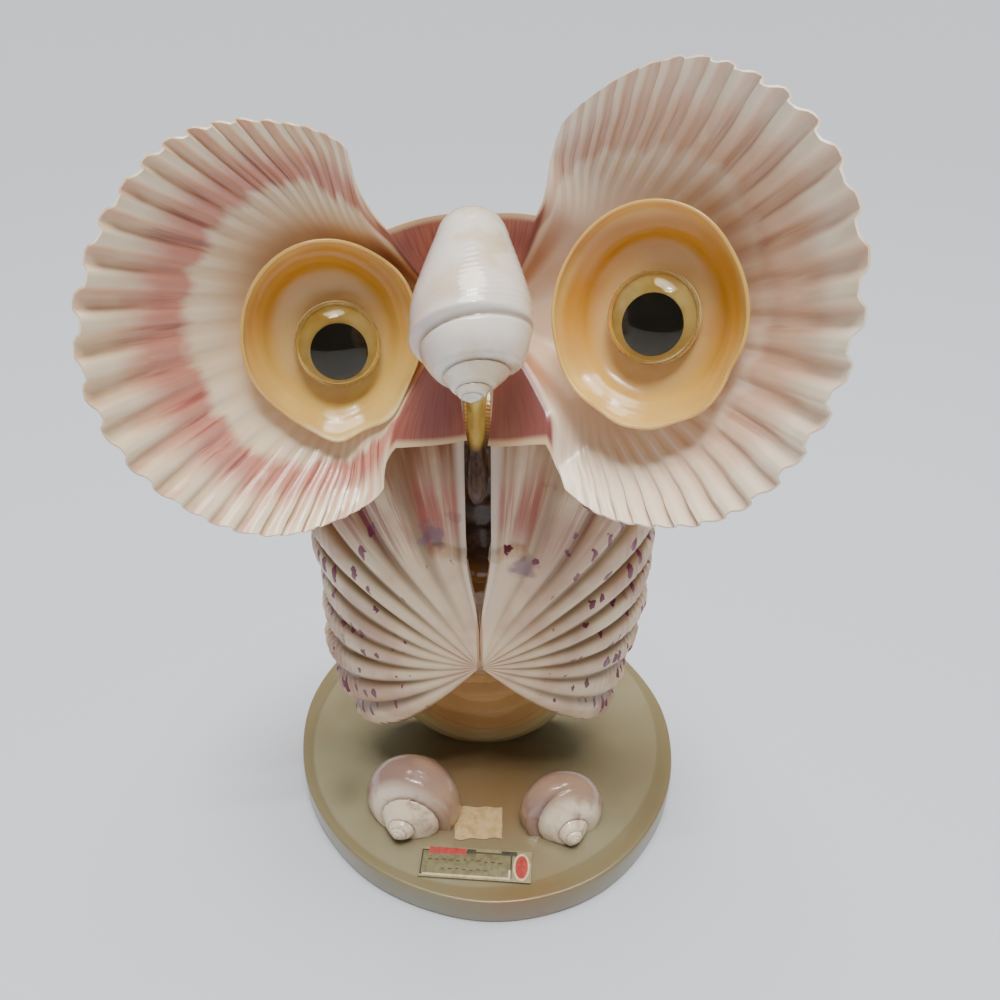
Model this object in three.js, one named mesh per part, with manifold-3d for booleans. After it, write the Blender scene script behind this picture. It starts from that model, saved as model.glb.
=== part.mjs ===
// Seashell owl figurine: real shells glued together on a cast disc of clear resin.
// Millimetres, +Z up. The owl faces -Y, and the origin is the centre of the underside.
// Left and right are the viewer's, looking along +Y.
import * as THREE from 'three';
import Module from 'manifold-3d';

const wasm = await Module();
wasm.setup();

const { degToRad, smoothstep, lerp } = THREE.MathUtils;

// Driving dimensions

const GAP = 0.3;

const BASE = {
  radius: 51.9,
  oval: 0.028,
  ovalAngle: degToRad(39),
  centre: [-1.1, -0.4],
  top: 7.7,
  foot: 1.2,
  lipHeight: 0.6,
  lipWidth: 3.5,
  segments: 56,
};

const SCALLOP = {
  ribs: 22,
  earUp: 17.5,
  earDown: 22.5,
  stretch: 1.1,
  shoulder: degToRad(59),
  shoulderGap: degToRad(1.5),
  earFan: [74, 90].map(degToRad),
  wall: 1.5,
  bowlEase: 0.75,
  shoulderDepth: 0.2,
  shoulderEase: 0.6,
  earDepth: 0.12,
  fluteDepth: 0.75,
  fluteFade: [0.2, 0.9],
  toothLength: 1.1,
  rows: [0.1, 0.26, 0.46, 0.66, 0.84, 1],
};

const HEADS = [
  {
    side: 'left', out: -1, umbo: [-4.3, -19, 136],
    sweep: 31, lean: 12, roll: 3, radius: 29.3, umboSetback: 1.06, depth: 15,
    cup: { along: 21.8, across: -1.5, length: 31.5, height: 34.5, turn: 14 },
    eye: { along: -1, across: -1.5 },
  },
  {
    side: 'right', out: 1, umbo: [0.3, -19, 136],
    sweep: 41, lean: 24.5, roll: 1.3, radius: 30.6, umboSetback: 1.08, depth: 16.5,
    cup: { along: 31, across: 1.2, length: 32.5, height: 36, turn: 16 },
    eye: { along: 0, across: 0 },
  },
];

const CUP = { depth: 8.5, wall: 1.2, steep: 0.8, bed: 0.6, segments: 24, rows: 4 };

const EYE = {
  diameter: 15, bed: 0.7, backing: 0.8, domeHeight: 4.4, domeWall: 0.7,
  pupilDiameter: 9.8, pupilThickness: 0.8, pupilDrop: 1.1, segments: 16, rows: 4,
};

const BEAK = {
  apex: [-1.5, -43.6, 131.9], heading: [0, -0.77, -0.64], length: 35.3,
  firstSuture: 4.8, growth: 2.19, groove: 0.15, turn: 0.25, fade: [12.5, 20],
  outline: [[0, 0], [1, 2.1], [2.2, 3.2], [4.8, 5.0], [8, 7.6], [12, 9.3], [15, 9.6], [19, 9.2],
    [25, 7.9], [30, 6.4], [33.4, 4.6], [35, 2.2], [35.3, 0]],
  columns: 18, rows: 16,
};

const FEET = [
  { side: 'left', centre: [-19.5, -29, 11.2], heading: [-0.27, -0.95, 0.12], size: 1, turn: 0.1 },
  { side: 'right', centre: [19.2, -31, 10.2], heading: [0.22, -0.95, 0.14], size: 0.87, turn: 0.6 },
];

const FOOT = {
  length: 23, back: 13, firstSuture: 2.3, growth: 2.6, groove: 0.14, fade: [6, 11],
  outline: [[0, 0], [0.7, 2.8], [2.3, 5.8], [4, 9.2], [6.5, 11.6], [10, 12.4], [14, 11.6], [18, 9],
    [21.5, 5.2], [23, 0]],
  columns: 18, rows: 11, sunkTo: 4.5, cutter: 80,
};

// How a snail shell's rings crowd towards its apex, and how sharply its suture is cut.
const SPIRE = { crowd: 1.15, sharp: 0.5 };

const BODY = {
  centre: [-1.4, 6, 57], halfWidth: 33.5, halfHeight: 53.5, depth: 15, wall: 2.2, lean: -4,
  rim: 0.5, segments: 32, rows: 6,
};

const WINGS = [
  {
    side: 'left', out: -1, umbo: [-2.1, -27, 58], tip: 142, ribs: 9,
    reach: [[0, 69], [25, 64], [50, 46.5], [75, 38.5], [95, 37.5], [115, 40], [135, 43], [142, 42.5]],
  },
  {
    side: 'right', out: 1, umbo: [-0.7, -27, 58], tip: 139, ribs: 9,
    reach: [[0, 69], [25, 64], [50, 47], [75, 39.5], [95, 37.5], [115, 38], [132, 42], [139, 41]],
  },
];

const WING = {
  wall: 2.6, ribHeight: 1.3, ribEase: 0.7, slitBack: 17, flankBack: 8, turnIn: degToRad(96),
  panel: 20, panelEdge: 0.8, panelRecess: 1.8, panelFoot: [11, 17], slitHalf: 1.5, slitOpens: [4, 34],
  columns: 30, rows: 9,
};

const GLUE = {
  x: -1.6, halfWidth: 2.1, back: -6, front: -22.5, lean: degToRad(10), bottom: 98, top: 140,
  pools: 1.5, thinning: 0.4, segments: 8, rows: 6,
};

const LABEL = { length: 27, width: 8, thickness: 0.4, centre: [-2.9, -42.9], turn: degToRad(-4) };

const COLOURS = {
  resin: '#8f8a5e', scallop: '#e8d9c6', cup: '#d9a441', wing: '#e3d3c4', body: '#a9743a',
  beak: '#efe6da', foot: '#d8cdc6', backing: '#f1ead2', dome: '#e9dfa8', pupil: '#22211f',
  glue: '#c9a637', label: '#5d6348',
};

// Small helpers

function finish(name, geometry, colour, roughness = 0.35) {
  const material = new THREE.MeshStandardMaterial({ color: colour, roughness, metalness: 0 });
  const mesh = new THREE.Mesh(geometry, material);
  mesh.name = name;
  return mesh;
}

// Piecewise smooth curve through a short list of [place, value] pairs.
function curveThrough(pairs) {
  const slopes = pairs.map((pair, i) => {
    const before = pairs[Math.max(i - 1, 0)];
    const after = pairs[Math.min(i + 1, pairs.length - 1)];
    return (after[1] - before[1]) / (after[0] - before[0]);
  });
  return (place) => {
    let i = 0;
    while (i < pairs.length - 2 && place > pairs[i + 1][0]) {
      i += 1;
    }
    const [from, to] = [pairs[i], pairs[i + 1]];
    const span = to[0] - from[0];
    const t = THREE.MathUtils.clamp((place - from[0]) / span, 0, 1);
    const t2 = t * t;
    const t3 = t2 * t;
    return from[1] * (2 * t3 - 3 * t2 + 1) + to[1] * (3 * t2 - 2 * t3)
      + span * (slopes[i] * (t3 - 2 * t2 + t) + slopes[i + 1] * (t3 - t2));
  };
}

function geometryFrom(points, triangles) {
  const geometry = new THREE.BufferGeometry();
  geometry.setAttribute('position', new THREE.Float32BufferAttribute(points.flatMap((p) => p.toArray()), 3));
  geometry.setIndex(triangles.flat());
  return geometry;
}

function solidOf(geometry) {
  return new wasm.Manifold(new wasm.Mesh({
    numProp: 3,
    vertProperties: new Float32Array(geometry.attributes.position.array),
    triVerts: new Uint32Array(geometry.index.array),
  }));
}

function geometryOf(solid) {
  const mesh = solid.getMesh();
  const geometry = new THREE.BufferGeometry();
  geometry.setAttribute('position', new THREE.BufferAttribute(mesh.vertProperties, 3));
  geometry.setIndex(new THREE.BufferAttribute(mesh.triVerts, 1));
  return geometry;
}

// Turns a mirrored sheet's triangles right way round.
function outward(points, triangles) {
  let volume = 0;
  for (const [a, b, c] of triangles) {
    volume += points[a].dot(new THREE.Vector3().crossVectors(points[b], points[c]));
  }
  return volume < 0 ? triangles.map(([a, b, c]) => [a, c, b]) : triangles;
}

// A shell wall: two sheets of points that share a fan of columns and meet at the umbo,
// joined along the hinge edges and round the margin.
function valveSolid(columns, rows, face, back) {
  const points = [];
  const sheets = [face, back].map((place) => {
    const umbo = points.push(place(columns / 2, 0)) - 1;
    const grid = [];
    for (let i = 0; i <= columns; i += 1) {
      const line = [umbo];
      for (let j = 1; j <= rows; j += 1) {
        line.push(points.push(place(i, j)) - 1);
      }
      grid.push(line);
    }
    return grid;
  });
  const triangles = [];
  const quad = (a, b, c, d) => {
    triangles.push([a, b, c]);
    triangles.push([a, c, d]);
  };
  sheets.forEach((grid, k) => {
    const flip = (t) => triangles.push(k ? [t[0], t[2], t[1]] : t);
    for (let i = 0; i < columns; i += 1) {
      flip([grid[i][0], grid[i][1], grid[i + 1][1]]);
      for (let j = 1; j < rows; j += 1) {
        flip([grid[i][j], grid[i][j + 1], grid[i + 1][j + 1]]);
        flip([grid[i][j], grid[i + 1][j + 1], grid[i + 1][j]]);
      }
    }
  });
  const [front, rear] = sheets;
  for (let j = 0; j < rows; j += 1) {
    quad(front[0][j + 1], front[0][j], rear[0][j], rear[0][j + 1]);
    quad(front[columns][j], front[columns][j + 1], rear[columns][j + 1], rear[columns][j]);
  }
  for (let i = 0; i < columns; i += 1) {
    quad(front[i + 1][rows], front[i][rows], rear[i][rows], rear[i + 1][rows]);
  }
  return geometryFrom(points, outward(points, triangles));
}

// A closed skin round an axis: place(i, j) for every column, one point at each end.
function spindleSolid(columns, rows, place) {
  const points = [place(0, 0), place(0, rows)];
  const grid = [];
  for (let i = 0; i < columns; i += 1) {
    const line = [0];
    for (let j = 1; j < rows; j += 1) {
      line.push(points.push(place(i, j)) - 1);
    }
    line.push(1);
    grid.push(line);
  }
  const triangles = [];
  for (let i = 0; i < columns; i += 1) {
    const here = grid[i];
    const next = grid[(i + 1) % columns];
    triangles.push([here[0], here[1], next[1]]);
    for (let j = 1; j < rows - 1; j += 1) {
      triangles.push([here[j], here[j + 1], next[j + 1]]);
      triangles.push([here[j], next[j + 1], next[j]]);
    }
    triangles.push([here[rows - 1], here[rows], next[rows - 1]]);
  }
  return geometryFrom(points, outward(points, triangles));
}

// A frame whose x, y and z run along the given directions.
function basis(x, y, origin) {
  const z = new THREE.Vector3().crossVectors(x, y).normalize();
  return new THREE.Matrix4().makeBasis(x, y, z).setPosition(origin);
}

// Resin base: a lathe turned disc with a raised lip, pressed slightly oval.
function baseOval(angle) {
  return 1 - BASE.oval * Math.cos(2 * (angle - BASE.ovalAngle));
}

function baseDisc() {
  const { radius, foot, top, lipHeight, lipWidth } = BASE;
  const profile = [
    [0, 0], [radius - foot, 0], [radius, foot], [radius, top - foot / 2],
    [radius - foot / 2, top + lipHeight], [radius - lipWidth / 2, top + lipHeight], [radius - lipWidth, top],
    [0, top],
  ].map(([r, z]) => new THREE.Vector2(r, z));
  const place = (i, j) => {
    const angle = (2 * Math.PI * i) / BASE.segments;
    const r = profile[j].x * baseOval(angle);
    return new THREE.Vector3(BASE.centre[0] + r * Math.cos(angle), BASE.centre[1] + r * Math.sin(angle), profile[j].y);
  };
  return spindleSolid(BASE.segments, profile.length - 1, place);
}

// Snail shell: its outline turned round the axis, with a spiral suture pressed into the spire.
function snailSolid(spec, size, origin, heading, turn, grow = 0) {
  const outline = curveThrough(spec.outline);
  const axis = new THREE.Vector3(...heading).normalize().negate();
  const across = new THREE.Vector3(0, 0, 1).cross(axis).normalize();
  const up = new THREE.Vector3().crossVectors(axis, across);
  const place = (i, j) => {
    const share = j / spec.rows;
    const along = spec.length * (0.5 - 0.5 * Math.cos(Math.PI * share ** SPIRE.crowd));
    const angle = (2 * Math.PI * i) / spec.columns;
    let radius = Math.max(outline(along), 0);
    if (j > 0 && j < spec.rows) {
      const whorl = Math.log(along / spec.firstSuture) / Math.log(spec.growth) - angle / (2 * Math.PI) + turn;
      const inWhorl = whorl - Math.floor(whorl);
      const press = spec.groove * (1 - Math.sin(Math.PI * inWhorl) ** SPIRE.sharp);
      radius *= 1 - press * (1 - smoothstep(along, spec.fade[0], spec.fade[1]));
      radius += grow / size;
    }
    const end = j === 0 ? -grow : grow * (j === spec.rows);
    return new THREE.Vector3(...origin)
      .addScaledVector(axis, along * size + end)
      .addScaledVector(across, radius * size * Math.cos(angle))
      .addScaledVector(up, radius * size * Math.sin(angle));
  };
  return spindleSolid(spec.columns, spec.rows, place);
}

// Foot shell, flat below where it was set down while the resin was soft.
function footSolid(foot, grow = 0) {
  const heading = new THREE.Vector3(...foot.heading).normalize();
  const apex = new THREE.Vector3(...foot.centre).addScaledVector(heading, (FOOT.length - FOOT.back) * foot.size);
  const whole = solidOf(snailSolid(FOOT, foot.size, apex.toArray(), foot.heading, foot.turn, grow));
  const room = new THREE.BoxGeometry(FOOT.cutter, FOOT.cutter, FOOT.cutter);
  room.translate(foot.centre[0], foot.centre[1], FOOT.sunkTo - grow + FOOT.cutter / 2);
  return whole.intersect(solidOf(welded(room)));
}

// The same surface with its shared corners merged and its empty triangles dropped.
function welded(geometry) {
  const seen = new Map();
  const points = [];
  const position = geometry.attributes.position;
  const swap = [];
  for (let i = 0; i < position.count; i += 1) {
    const point = new THREE.Vector3().fromBufferAttribute(position, i);
    const key = point.toArray().map((x) => Math.round(x * 1e4)).join(',');
    if (!seen.has(key)) {
      seen.set(key, points.push(point) - 1);
    }
    swap.push(seen.get(key));
  }
  const triangles = [];
  for (let i = 0; i < geometry.index.count; i += 3) {
    const corner = [0, 1, 2].map((k) => swap[geometry.index.getX(i + k)]);
    if (new Set(corner).size === 3) {
      triangles.push(corner);
    }
  }
  return geometryFrom(points, outward(points, triangles));
}

// Dish with walls of true thickness: a closed profile turned round z, open towards +z,
// rim at z = 0 and the bowl below it.
function dishGeometry(radius, depth, wall, steep, segments, rows) {
  const arc = (r, d) => {
    const line = [];
    for (let j = 0; j <= rows; j += 1) {
      const t = (j / rows) * Math.PI / 2;
      line.push([r * Math.sin(t), -d * Math.cos(t) ** steep]);
    }
    return line;
  };
  const outer = arc(radius, depth);
  const inner = arc(radius - wall, depth - wall).reverse();
  const profile = [...outer, ...inner];
  const place = (i, j) => {
    const angle = (2 * Math.PI * i) / segments;
    const [r, z] = profile[j];
    return new THREE.Vector3(r * Math.cos(angle), r * Math.sin(angle), z);
  };
  return spindleSolid(segments, profile.length - 1, place);
}

// Head scallops

function headFrame(head) {
  const out = new THREE.Vector3(head.out * Math.cos(degToRad(head.sweep)), -Math.sin(degToRad(head.sweep)), 0);
  const up = new THREE.Vector3(0, 0, 1);
  const turn = new THREE.Matrix4().makeRotationY(degToRad(-head.roll))
    .multiply(new THREE.Matrix4().makeRotationX(degToRad(-head.lean)));
  out.applyMatrix4(turn);
  up.applyMatrix4(turn).multiplyScalar(-head.out);
  return basis(out, up, new THREE.Vector3(...head.umbo));
}

// Fan angles of the columns: an ear, two to each rib of the disc, and the other ear.
const discSteps = SCALLOP.ribs * 2;
const earSteps = [SCALLOP.shoulder + SCALLOP.shoulderGap, ...SCALLOP.earFan];
const fanAngles = earSteps.map((fan) => -fan).reverse();
for (let i = 0; i <= discSteps; i += 1) {
  fanAngles.push(lerp(-SCALLOP.shoulder, SCALLOP.shoulder, i / discSteps));
}
fanAngles.push(...earSteps);

// Depth of the bowl behind the plane of the rim, at a share of the way from umbo to margin.
function bowlDepth(head, fan, share) {
  const x = share ** SCALLOP.bowlEase;
  const across = Math.min(Math.abs(fan) / SCALLOP.shoulder, 1);
  const onDisc = lerp(SCALLOP.shoulderDepth, 1, Math.cos(across * Math.PI / 2) ** SCALLOP.shoulderEase);
  const side = Math.abs(fan) > SCALLOP.shoulder ? SCALLOP.earDepth : onDisc;
  return head.depth * 4 * x * (1 - x) * side;
}

// Distance from the umbo to the margin: a stretched circle for the disc, a straight edge for the ears.
function marginRadius(head, fan) {
  if (Math.abs(fan) > SCALLOP.shoulder + SCALLOP.shoulderGap / 2) {
    const upper = fan * head.out < 0;
    return (upper ? SCALLOP.earUp : SCALLOP.earDown) / Math.sin(Math.abs(fan));
  }
  const back = head.radius * head.umboSetback;
  const inPlane = Math.atan2(Math.sin(fan) / SCALLOP.stretch, Math.cos(fan));
  const round = back * Math.cos(inPlane) + Math.sqrt(head.radius ** 2 - (back * Math.sin(inPlane)) ** 2);
  return round * Math.hypot(Math.cos(inPlane), SCALLOP.stretch * Math.sin(inPlane));
}

function scallopSolid(head) {
  const shares = [0, ...SCALLOP.rows];
  const place = (lift) => (column, row) => {
    const fan = row === 0 ? 0 : fanAngles[column];
    const share = shares[row];
    const onDisc = Math.abs(fan) <= SCALLOP.shoulder;
    const ridge = onDisc && column % 2 ? 1 : -1;
    const flute = onDisc ? SCALLOP.fluteDepth * smoothstep(share, ...SCALLOP.fluteFade) * ridge : 0;
    const tooth = onDisc && row === shares.length - 1 ? SCALLOP.toothLength * 0.5 * ridge : 0;
    const radius = marginRadius(head, fan) * share + tooth;
    const depth = bowlDepth(head, fan, share) + flute + lift;
    return new THREE.Vector3(radius * Math.cos(fan), radius * Math.sin(fan), depth);
  };
  return valveSolid(fanAngles.length - 1, shares.length - 1, place(0), place(SCALLOP.wall));
}

// Inner face of the bowl under a point of the rim plane.
function bowlFloor(head, along, across) {
  const fan = Math.atan2(across, along);
  const share = Math.hypot(along, across) / marginRadius(head, fan);
  return bowlDepth(head, fan, Math.min(share, 1)) - SCALLOP.fluteDepth * smoothstep(share, ...SCALLOP.fluteFade);
}

// Eye cup, pushed back along the bowl's depth until it lies on the flutes.
function cupSolid(head) {
  const { cup } = head;
  const geometry = dishGeometry(cup.length / 2, CUP.depth, CUP.wall, CUP.steep, CUP.segments, CUP.rows);
  geometry.scale(1, cup.height / cup.length, 1);
  const turn = new THREE.Matrix4().makeRotationY(degToRad(180 - cup.turn));
  geometry.applyMatrix4(turn);
  let room = Infinity;
  const position = geometry.attributes.position;
  for (let i = 0; i < position.count; i += 1) {
    const floor = bowlFloor(head, position.getX(i) + cup.along, position.getY(i) + cup.across);
    room = Math.min(room, floor - position.getZ(i));
  }
  const seat = new THREE.Vector3(cup.along, cup.across, room - CUP.bed);
  geometry.translate(seat.x, seat.y, seat.z);
  return { geometry: welded(geometry), seat, turn };
}

// Inner face of the cup, below its rim.
function cupFloor(cup, x, y) {
  const reach = Math.hypot(x, y * cup.length / cup.height) / (cup.length / 2 - CUP.wall);
  return -(CUP.depth - CUP.wall) * Math.sqrt(Math.max(1 - reach ** 2, 0)) ** CUP.steep;
}

// Googly eye, seated in the cup: a backing disc, a loose pupil and a hollow dome open at the back.
function eyePieces(head, cup) {
  const radius = EYE.diameter / 2;
  const [x, y] = [-head.eye.along, head.eye.across];
  let seat = -Infinity;
  for (let i = 0; i < EYE.segments; i += 1) {
    const angle = (2 * Math.PI * i) / EYE.segments;
    seat = Math.max(seat, cupFloor(head.cup, x + radius * Math.cos(angle), y + radius * Math.sin(angle)));
  }
  const place = cup.turn.clone().setPosition(cup.seat)
    .multiply(new THREE.Matrix4().makeTranslation(x, y, seat + EYE.bed));
  const backing = new THREE.CylinderGeometry(radius, radius, EYE.backing, EYE.segments);
  backing.rotateX(Math.PI / 2).translate(0, 0, EYE.backing / 2);
  const dome = dishGeometry(radius, EYE.domeHeight, EYE.domeWall, 1, EYE.segments, EYE.rows);
  dome.rotateX(Math.PI).translate(0, 0, EYE.backing + GAP);
  const pupilRadius = EYE.pupilDiameter / 2;
  const pupil = new THREE.CylinderGeometry(pupilRadius, pupilRadius, EYE.pupilThickness, EYE.segments);
  pupil.rotateX(Math.PI / 2).translate(0, head.out * EYE.pupilDrop, EYE.backing + GAP + EYE.pupilThickness / 2);
  return Object.entries({ backing, dome, pupil }).map(([part, geometry]) => (
    finish(`eye_${part}_${head.side}`, geometry.applyMatrix4(place), COLOURS[part], 0.15)
  ));
}

// Body shell: an oval valve on end, convex side forward, with its lower margin cast in the resin.
function bodySolid(grow = 0) {
  const { centre, halfWidth, halfHeight, depth, wall, rim, segments, rows, lean } = BODY;
  const geometry = dishGeometry(halfWidth + grow, depth + 2 * grow, wall + 2 * grow, rim, segments, rows);
  geometry.scale(1, (halfHeight + grow) / (halfWidth + grow), 1);
  geometry.translate(0, 0, grow);
  geometry.rotateX(-Math.PI / 2 + degToRad(lean));
  geometry.translate(...centre);
  return welded(geometry);
}

// Wing valves: ribs fan from an umbo on the breast and curl back round the flank.
function wingSolid(wing) {
  const reach = curveThrough(wing.reach);
  const clear = degToRad(WING.panel);
  const last = degToRad(wing.tip);
  const step = 0.02;
  const smooth = (fan, growth) => {
    const turn = growth * WING.turnIn;
    const radius = reach(THREE.MathUtils.radToDeg(fan)) * Math.sin(Math.min(turn, Math.PI / 2));
    const flank = Math.sin(Math.PI * fan / last);
    const back = (WING.slitBack + WING.flankBack * flank) * (1 - Math.cos(turn));
    return new THREE.Vector3(radius * Math.sin(fan), back, radius * Math.cos(fan));
  };
  const normal = (fan, growth) => {
    const g = THREE.MathUtils.clamp(growth, 3 * step, 1 - step);
    const f = THREE.MathUtils.clamp(fan, step, last - step);
    const alongFan = smooth(f + step, g).sub(smooth(f - step, g));
    const alongRib = smooth(f, g + step).sub(smooth(f, g - step));
    return alongFan.cross(alongRib).normalize();
  };
  const place = (lift) => (column, row) => {
    const fan = row === 0 ? last / 2 : last * (column / WING.columns);
    const growth = row / WING.rows;
    const phase = (fan - clear) / (last - clear);
    const wave = phase > 0 ? -Math.cos(2 * Math.PI * phase * wing.ribs) : 0;
    const rib = WING.ribHeight * growth ** WING.ribEase * wave;
    const point = smooth(fan, growth);
    const onPanel = 1 - smoothstep(fan, clear * WING.panelEdge, clear);
    const recess = WING.panelRecess * onPanel * smoothstep(point.z, ...WING.panelFoot);
    point.addScaledVector(normal(fan, growth), rib + lift - recess);
    const slit = WING.slitHalf * smoothstep(point.z, ...WING.slitOpens) + GAP;
    point.x = Math.max(point.x, 0) + slit;
    return new THREE.Vector3(wing.out * point.x, point.y, point.z).add(new THREE.Vector3(...wing.umbo));
  };
  return valveSolid(WING.columns, WING.rows, place(0), place(-WING.wall));
}

// Glue web between the two hinge lines and down into the slit: uneven, thicker where it pooled.
function glueSolid() {
  const { x, halfWidth, back, front, lean, bottom, top, pools, thinning, segments, rows } = GLUE;
  const place = (i, j) => {
    const angle = (2 * Math.PI * i) / segments;
    const share = j / rows;
    const thin = thinning * (0.5 - 0.5 * Math.cos(2 * Math.PI * pools * share));
    const swell = j % rows ? 1 - thin : 0;
    const middle = (back + front) / 2 + (top - bottom) * (share - 0.5) * Math.tan(lean);
    return new THREE.Vector3(
      x + halfWidth * swell * Math.cos(angle),
      middle + ((back - front) / 2) * swell * Math.sin(angle),
      lerp(bottom, top, share),
    );
  };
  return spindleSolid(segments, rows, place);
}

// Small paper label lying on the base in front of the feet.
function labelSolid() {
  const { length, width, thickness, centre, turn } = LABEL;
  const geometry = new THREE.BoxGeometry(length, width, thickness);
  geometry.rotateZ(turn).translate(centre[0], centre[1], BASE.top + GAP + thickness / 2);
  return geometry;
}

const owl = new THREE.Group();
owl.name = 'seashell_owl';

let resin = solidOf(baseDisc());
for (const foot of FEET) {
  resin = resin.subtract(footSolid(foot, GAP));
  owl.add(finish(`foot_shell_${foot.side}`, geometryOf(footSolid(foot)), COLOURS.foot));
}
resin = resin.subtract(solidOf(bodySolid(GAP)));
owl.add(finish('resin_base', geometryOf(resin), COLOURS.resin, 0.2));
owl.add(finish('body_shell', bodySolid(), COLOURS.body));
owl.add(finish('souvenir_label', labelSolid(), COLOURS.label, 0.6));
owl.add(finish('hinge_glue', glueSolid(), COLOURS.glue, 0.2));

for (const wing of WINGS) {
  owl.add(finish(`wing_shell_${wing.side}`, wingSolid(wing), COLOURS.wing));
}

for (const head of HEADS) {
  const group = new THREE.Group();
  group.applyMatrix4(headFrame(head));
  group.add(finish(`head_scallop_${head.side}`, scallopSolid(head), COLOURS.scallop));
  const cup = cupSolid(head);
  group.add(finish(`eye_cup_${head.side}`, cup.geometry, COLOURS.cup, 0.2));
  group.add(...eyePieces(head, cup));
  owl.add(group);
}

owl.add(finish('beak_shell', snailSolid(BEAK, 1, BEAK.apex, BEAK.heading, BEAK.turn), COLOURS.beak, 0.2));

export default owl;
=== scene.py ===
# %% [markdown]
# # Seashell owl figurine
#
# A souvenir owl, about 178 mm tall, glued together from real shells on a cast disc of resin.
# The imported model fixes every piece's size and place. This script dresses each piece with the
# fine shape and finish of the real shell, and never moves a piece. Sizes are written in
# millimetres and built in metres, with +Z up, and the owl faces -Y.

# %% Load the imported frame
import math

import bpy
import numpy as np
from mathutils import Matrix, Vector


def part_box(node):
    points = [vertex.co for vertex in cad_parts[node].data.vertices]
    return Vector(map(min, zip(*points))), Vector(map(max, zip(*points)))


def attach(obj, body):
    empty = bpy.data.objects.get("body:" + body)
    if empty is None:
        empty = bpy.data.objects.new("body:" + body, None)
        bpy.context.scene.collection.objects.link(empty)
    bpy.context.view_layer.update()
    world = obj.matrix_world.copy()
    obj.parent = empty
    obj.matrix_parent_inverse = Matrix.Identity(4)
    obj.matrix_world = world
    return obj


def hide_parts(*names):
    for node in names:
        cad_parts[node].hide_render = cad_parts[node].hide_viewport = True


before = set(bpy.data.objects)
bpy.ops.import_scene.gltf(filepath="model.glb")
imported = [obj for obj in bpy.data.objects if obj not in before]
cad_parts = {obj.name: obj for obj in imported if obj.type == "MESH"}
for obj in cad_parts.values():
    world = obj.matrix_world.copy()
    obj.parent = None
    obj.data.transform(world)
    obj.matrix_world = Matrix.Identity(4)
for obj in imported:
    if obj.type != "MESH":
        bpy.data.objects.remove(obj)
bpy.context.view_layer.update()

# %% [markdown]
# ## Camera
#
# A photograph fixes a viewpoint by how its verticals lean and how its circles flatten. The
# round base gives the pitch and the distance, so the camera stands close and looks down.
# It comes first, because every other choice is judged through it.

# %% The photograph's viewpoint
MM = 0.001
CAMERA_PLACE = Vector((3.0, -155.0, 188.5)) * MM
CAMERA_PITCH = math.radians(33.8)
CAMERA_LENS = 28.98

camera_data = bpy.data.cameras.new("camera")
camera_data.lens = CAMERA_LENS
camera_data.sensor_width = 36
camera_data.clip_start = 0.005
camera = bpy.data.objects.new("camera", camera_data)
camera.location = CAMERA_PLACE
camera.rotation_euler = (math.pi / 2 - CAMERA_PITCH, 0, 0)
bpy.context.collection.objects.link(camera)
bpy.context.scene.camera = camera
print("camera", camera.location)

# %% [markdown]
# ## From a flat grid to a shell
#
# A shell grows by adding rims round a point, so its natural map is how far across the fan and
# how far from that point. A grid primitive has just those two directions. Each vertex is
# moved by a formula, and the two numbers are kept in a UV map, so that stripes and spots
# follow the growth of the shell as they do on the real one.

# %% Curves and unevenness
def smooth_step(value, start, end):
    share = np.clip((value - start) / (end - start), 0, 1)
    return share * share * (3 - 2 * share)


def curve_through(pairs):
    """Smooth curve through a short list of (place, value) pairs."""
    places, values = (np.array(column, float) for column in zip(*pairs))
    before = np.maximum(np.arange(len(places)) - 1, 0)
    after = np.minimum(np.arange(len(places)) + 1, len(places) - 1)
    slopes = (values[after] - values[before]) / (places[after] - places[before])

    def curve(place):
        i = np.clip(np.searchsorted(places, place) - 1, 0, len(places) - 2)
        span = places[i + 1] - places[i]
        t = np.clip((place - places[i]) / span, 0, 1)
        rise = values[i] + (values[i + 1] - values[i]) * t * t * (3 - 2 * t)
        return rise + span * t * (1 - t) * (slopes[i] * (1 - t) - slopes[i + 1] * t)

    return curve


def ripple(across, along, seed, waves=5):
    """Gentle unevenness between -1 and 1, the same every time for one seed."""
    random = np.random.default_rng(seed)
    total = np.zeros_like(across)
    for _ in range(waves):
        turn, start = random.uniform(0, 2 * np.pi, 2)
        total += np.sin(across * np.cos(turn) + along * np.sin(turn) + start)
    return total / waves


# %% Selecting, editing and joining
def deselect():
    bpy.ops.object.select_all(action="DESELECT")


def select_only(*pieces):
    """Selects the pieces and makes the first of them active."""
    deselect()
    for piece in pieces:
        piece.select_set(True)
    bpy.context.view_layer.objects.active = pieces[0]


def join(pieces, name):
    select_only(*pieces)
    bpy.ops.object.join()
    pieces[0].name = name
    return pieces[0]


def edit(piece, *steps):
    """Runs edit mode steps on all of one piece."""
    select_only(piece)
    bpy.ops.object.mode_set(mode="EDIT")
    bpy.ops.mesh.select_all(action="SELECT")
    for step in steps:
        step()
    bpy.ops.object.mode_set(mode="OBJECT")


def merge():
    bpy.ops.mesh.remove_doubles(threshold=1e-6)


def outside():
    bpy.ops.mesh.normals_make_consistent(inside=False)


# %% A grid carried to a formula
def vertex_places(piece):
    flat = np.empty(len(piece.data.vertices) * 3)
    piece.data.vertices.foreach_get("co", flat)
    return flat.reshape(-1, 3)


def corner_vertices(piece):
    """The vertex at each corner of each face, in the order of a UV map."""
    corners = np.empty(len(piece.data.loops), int)
    piece.data.loops.foreach_get("vertex_index", corners)
    return corners


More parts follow.
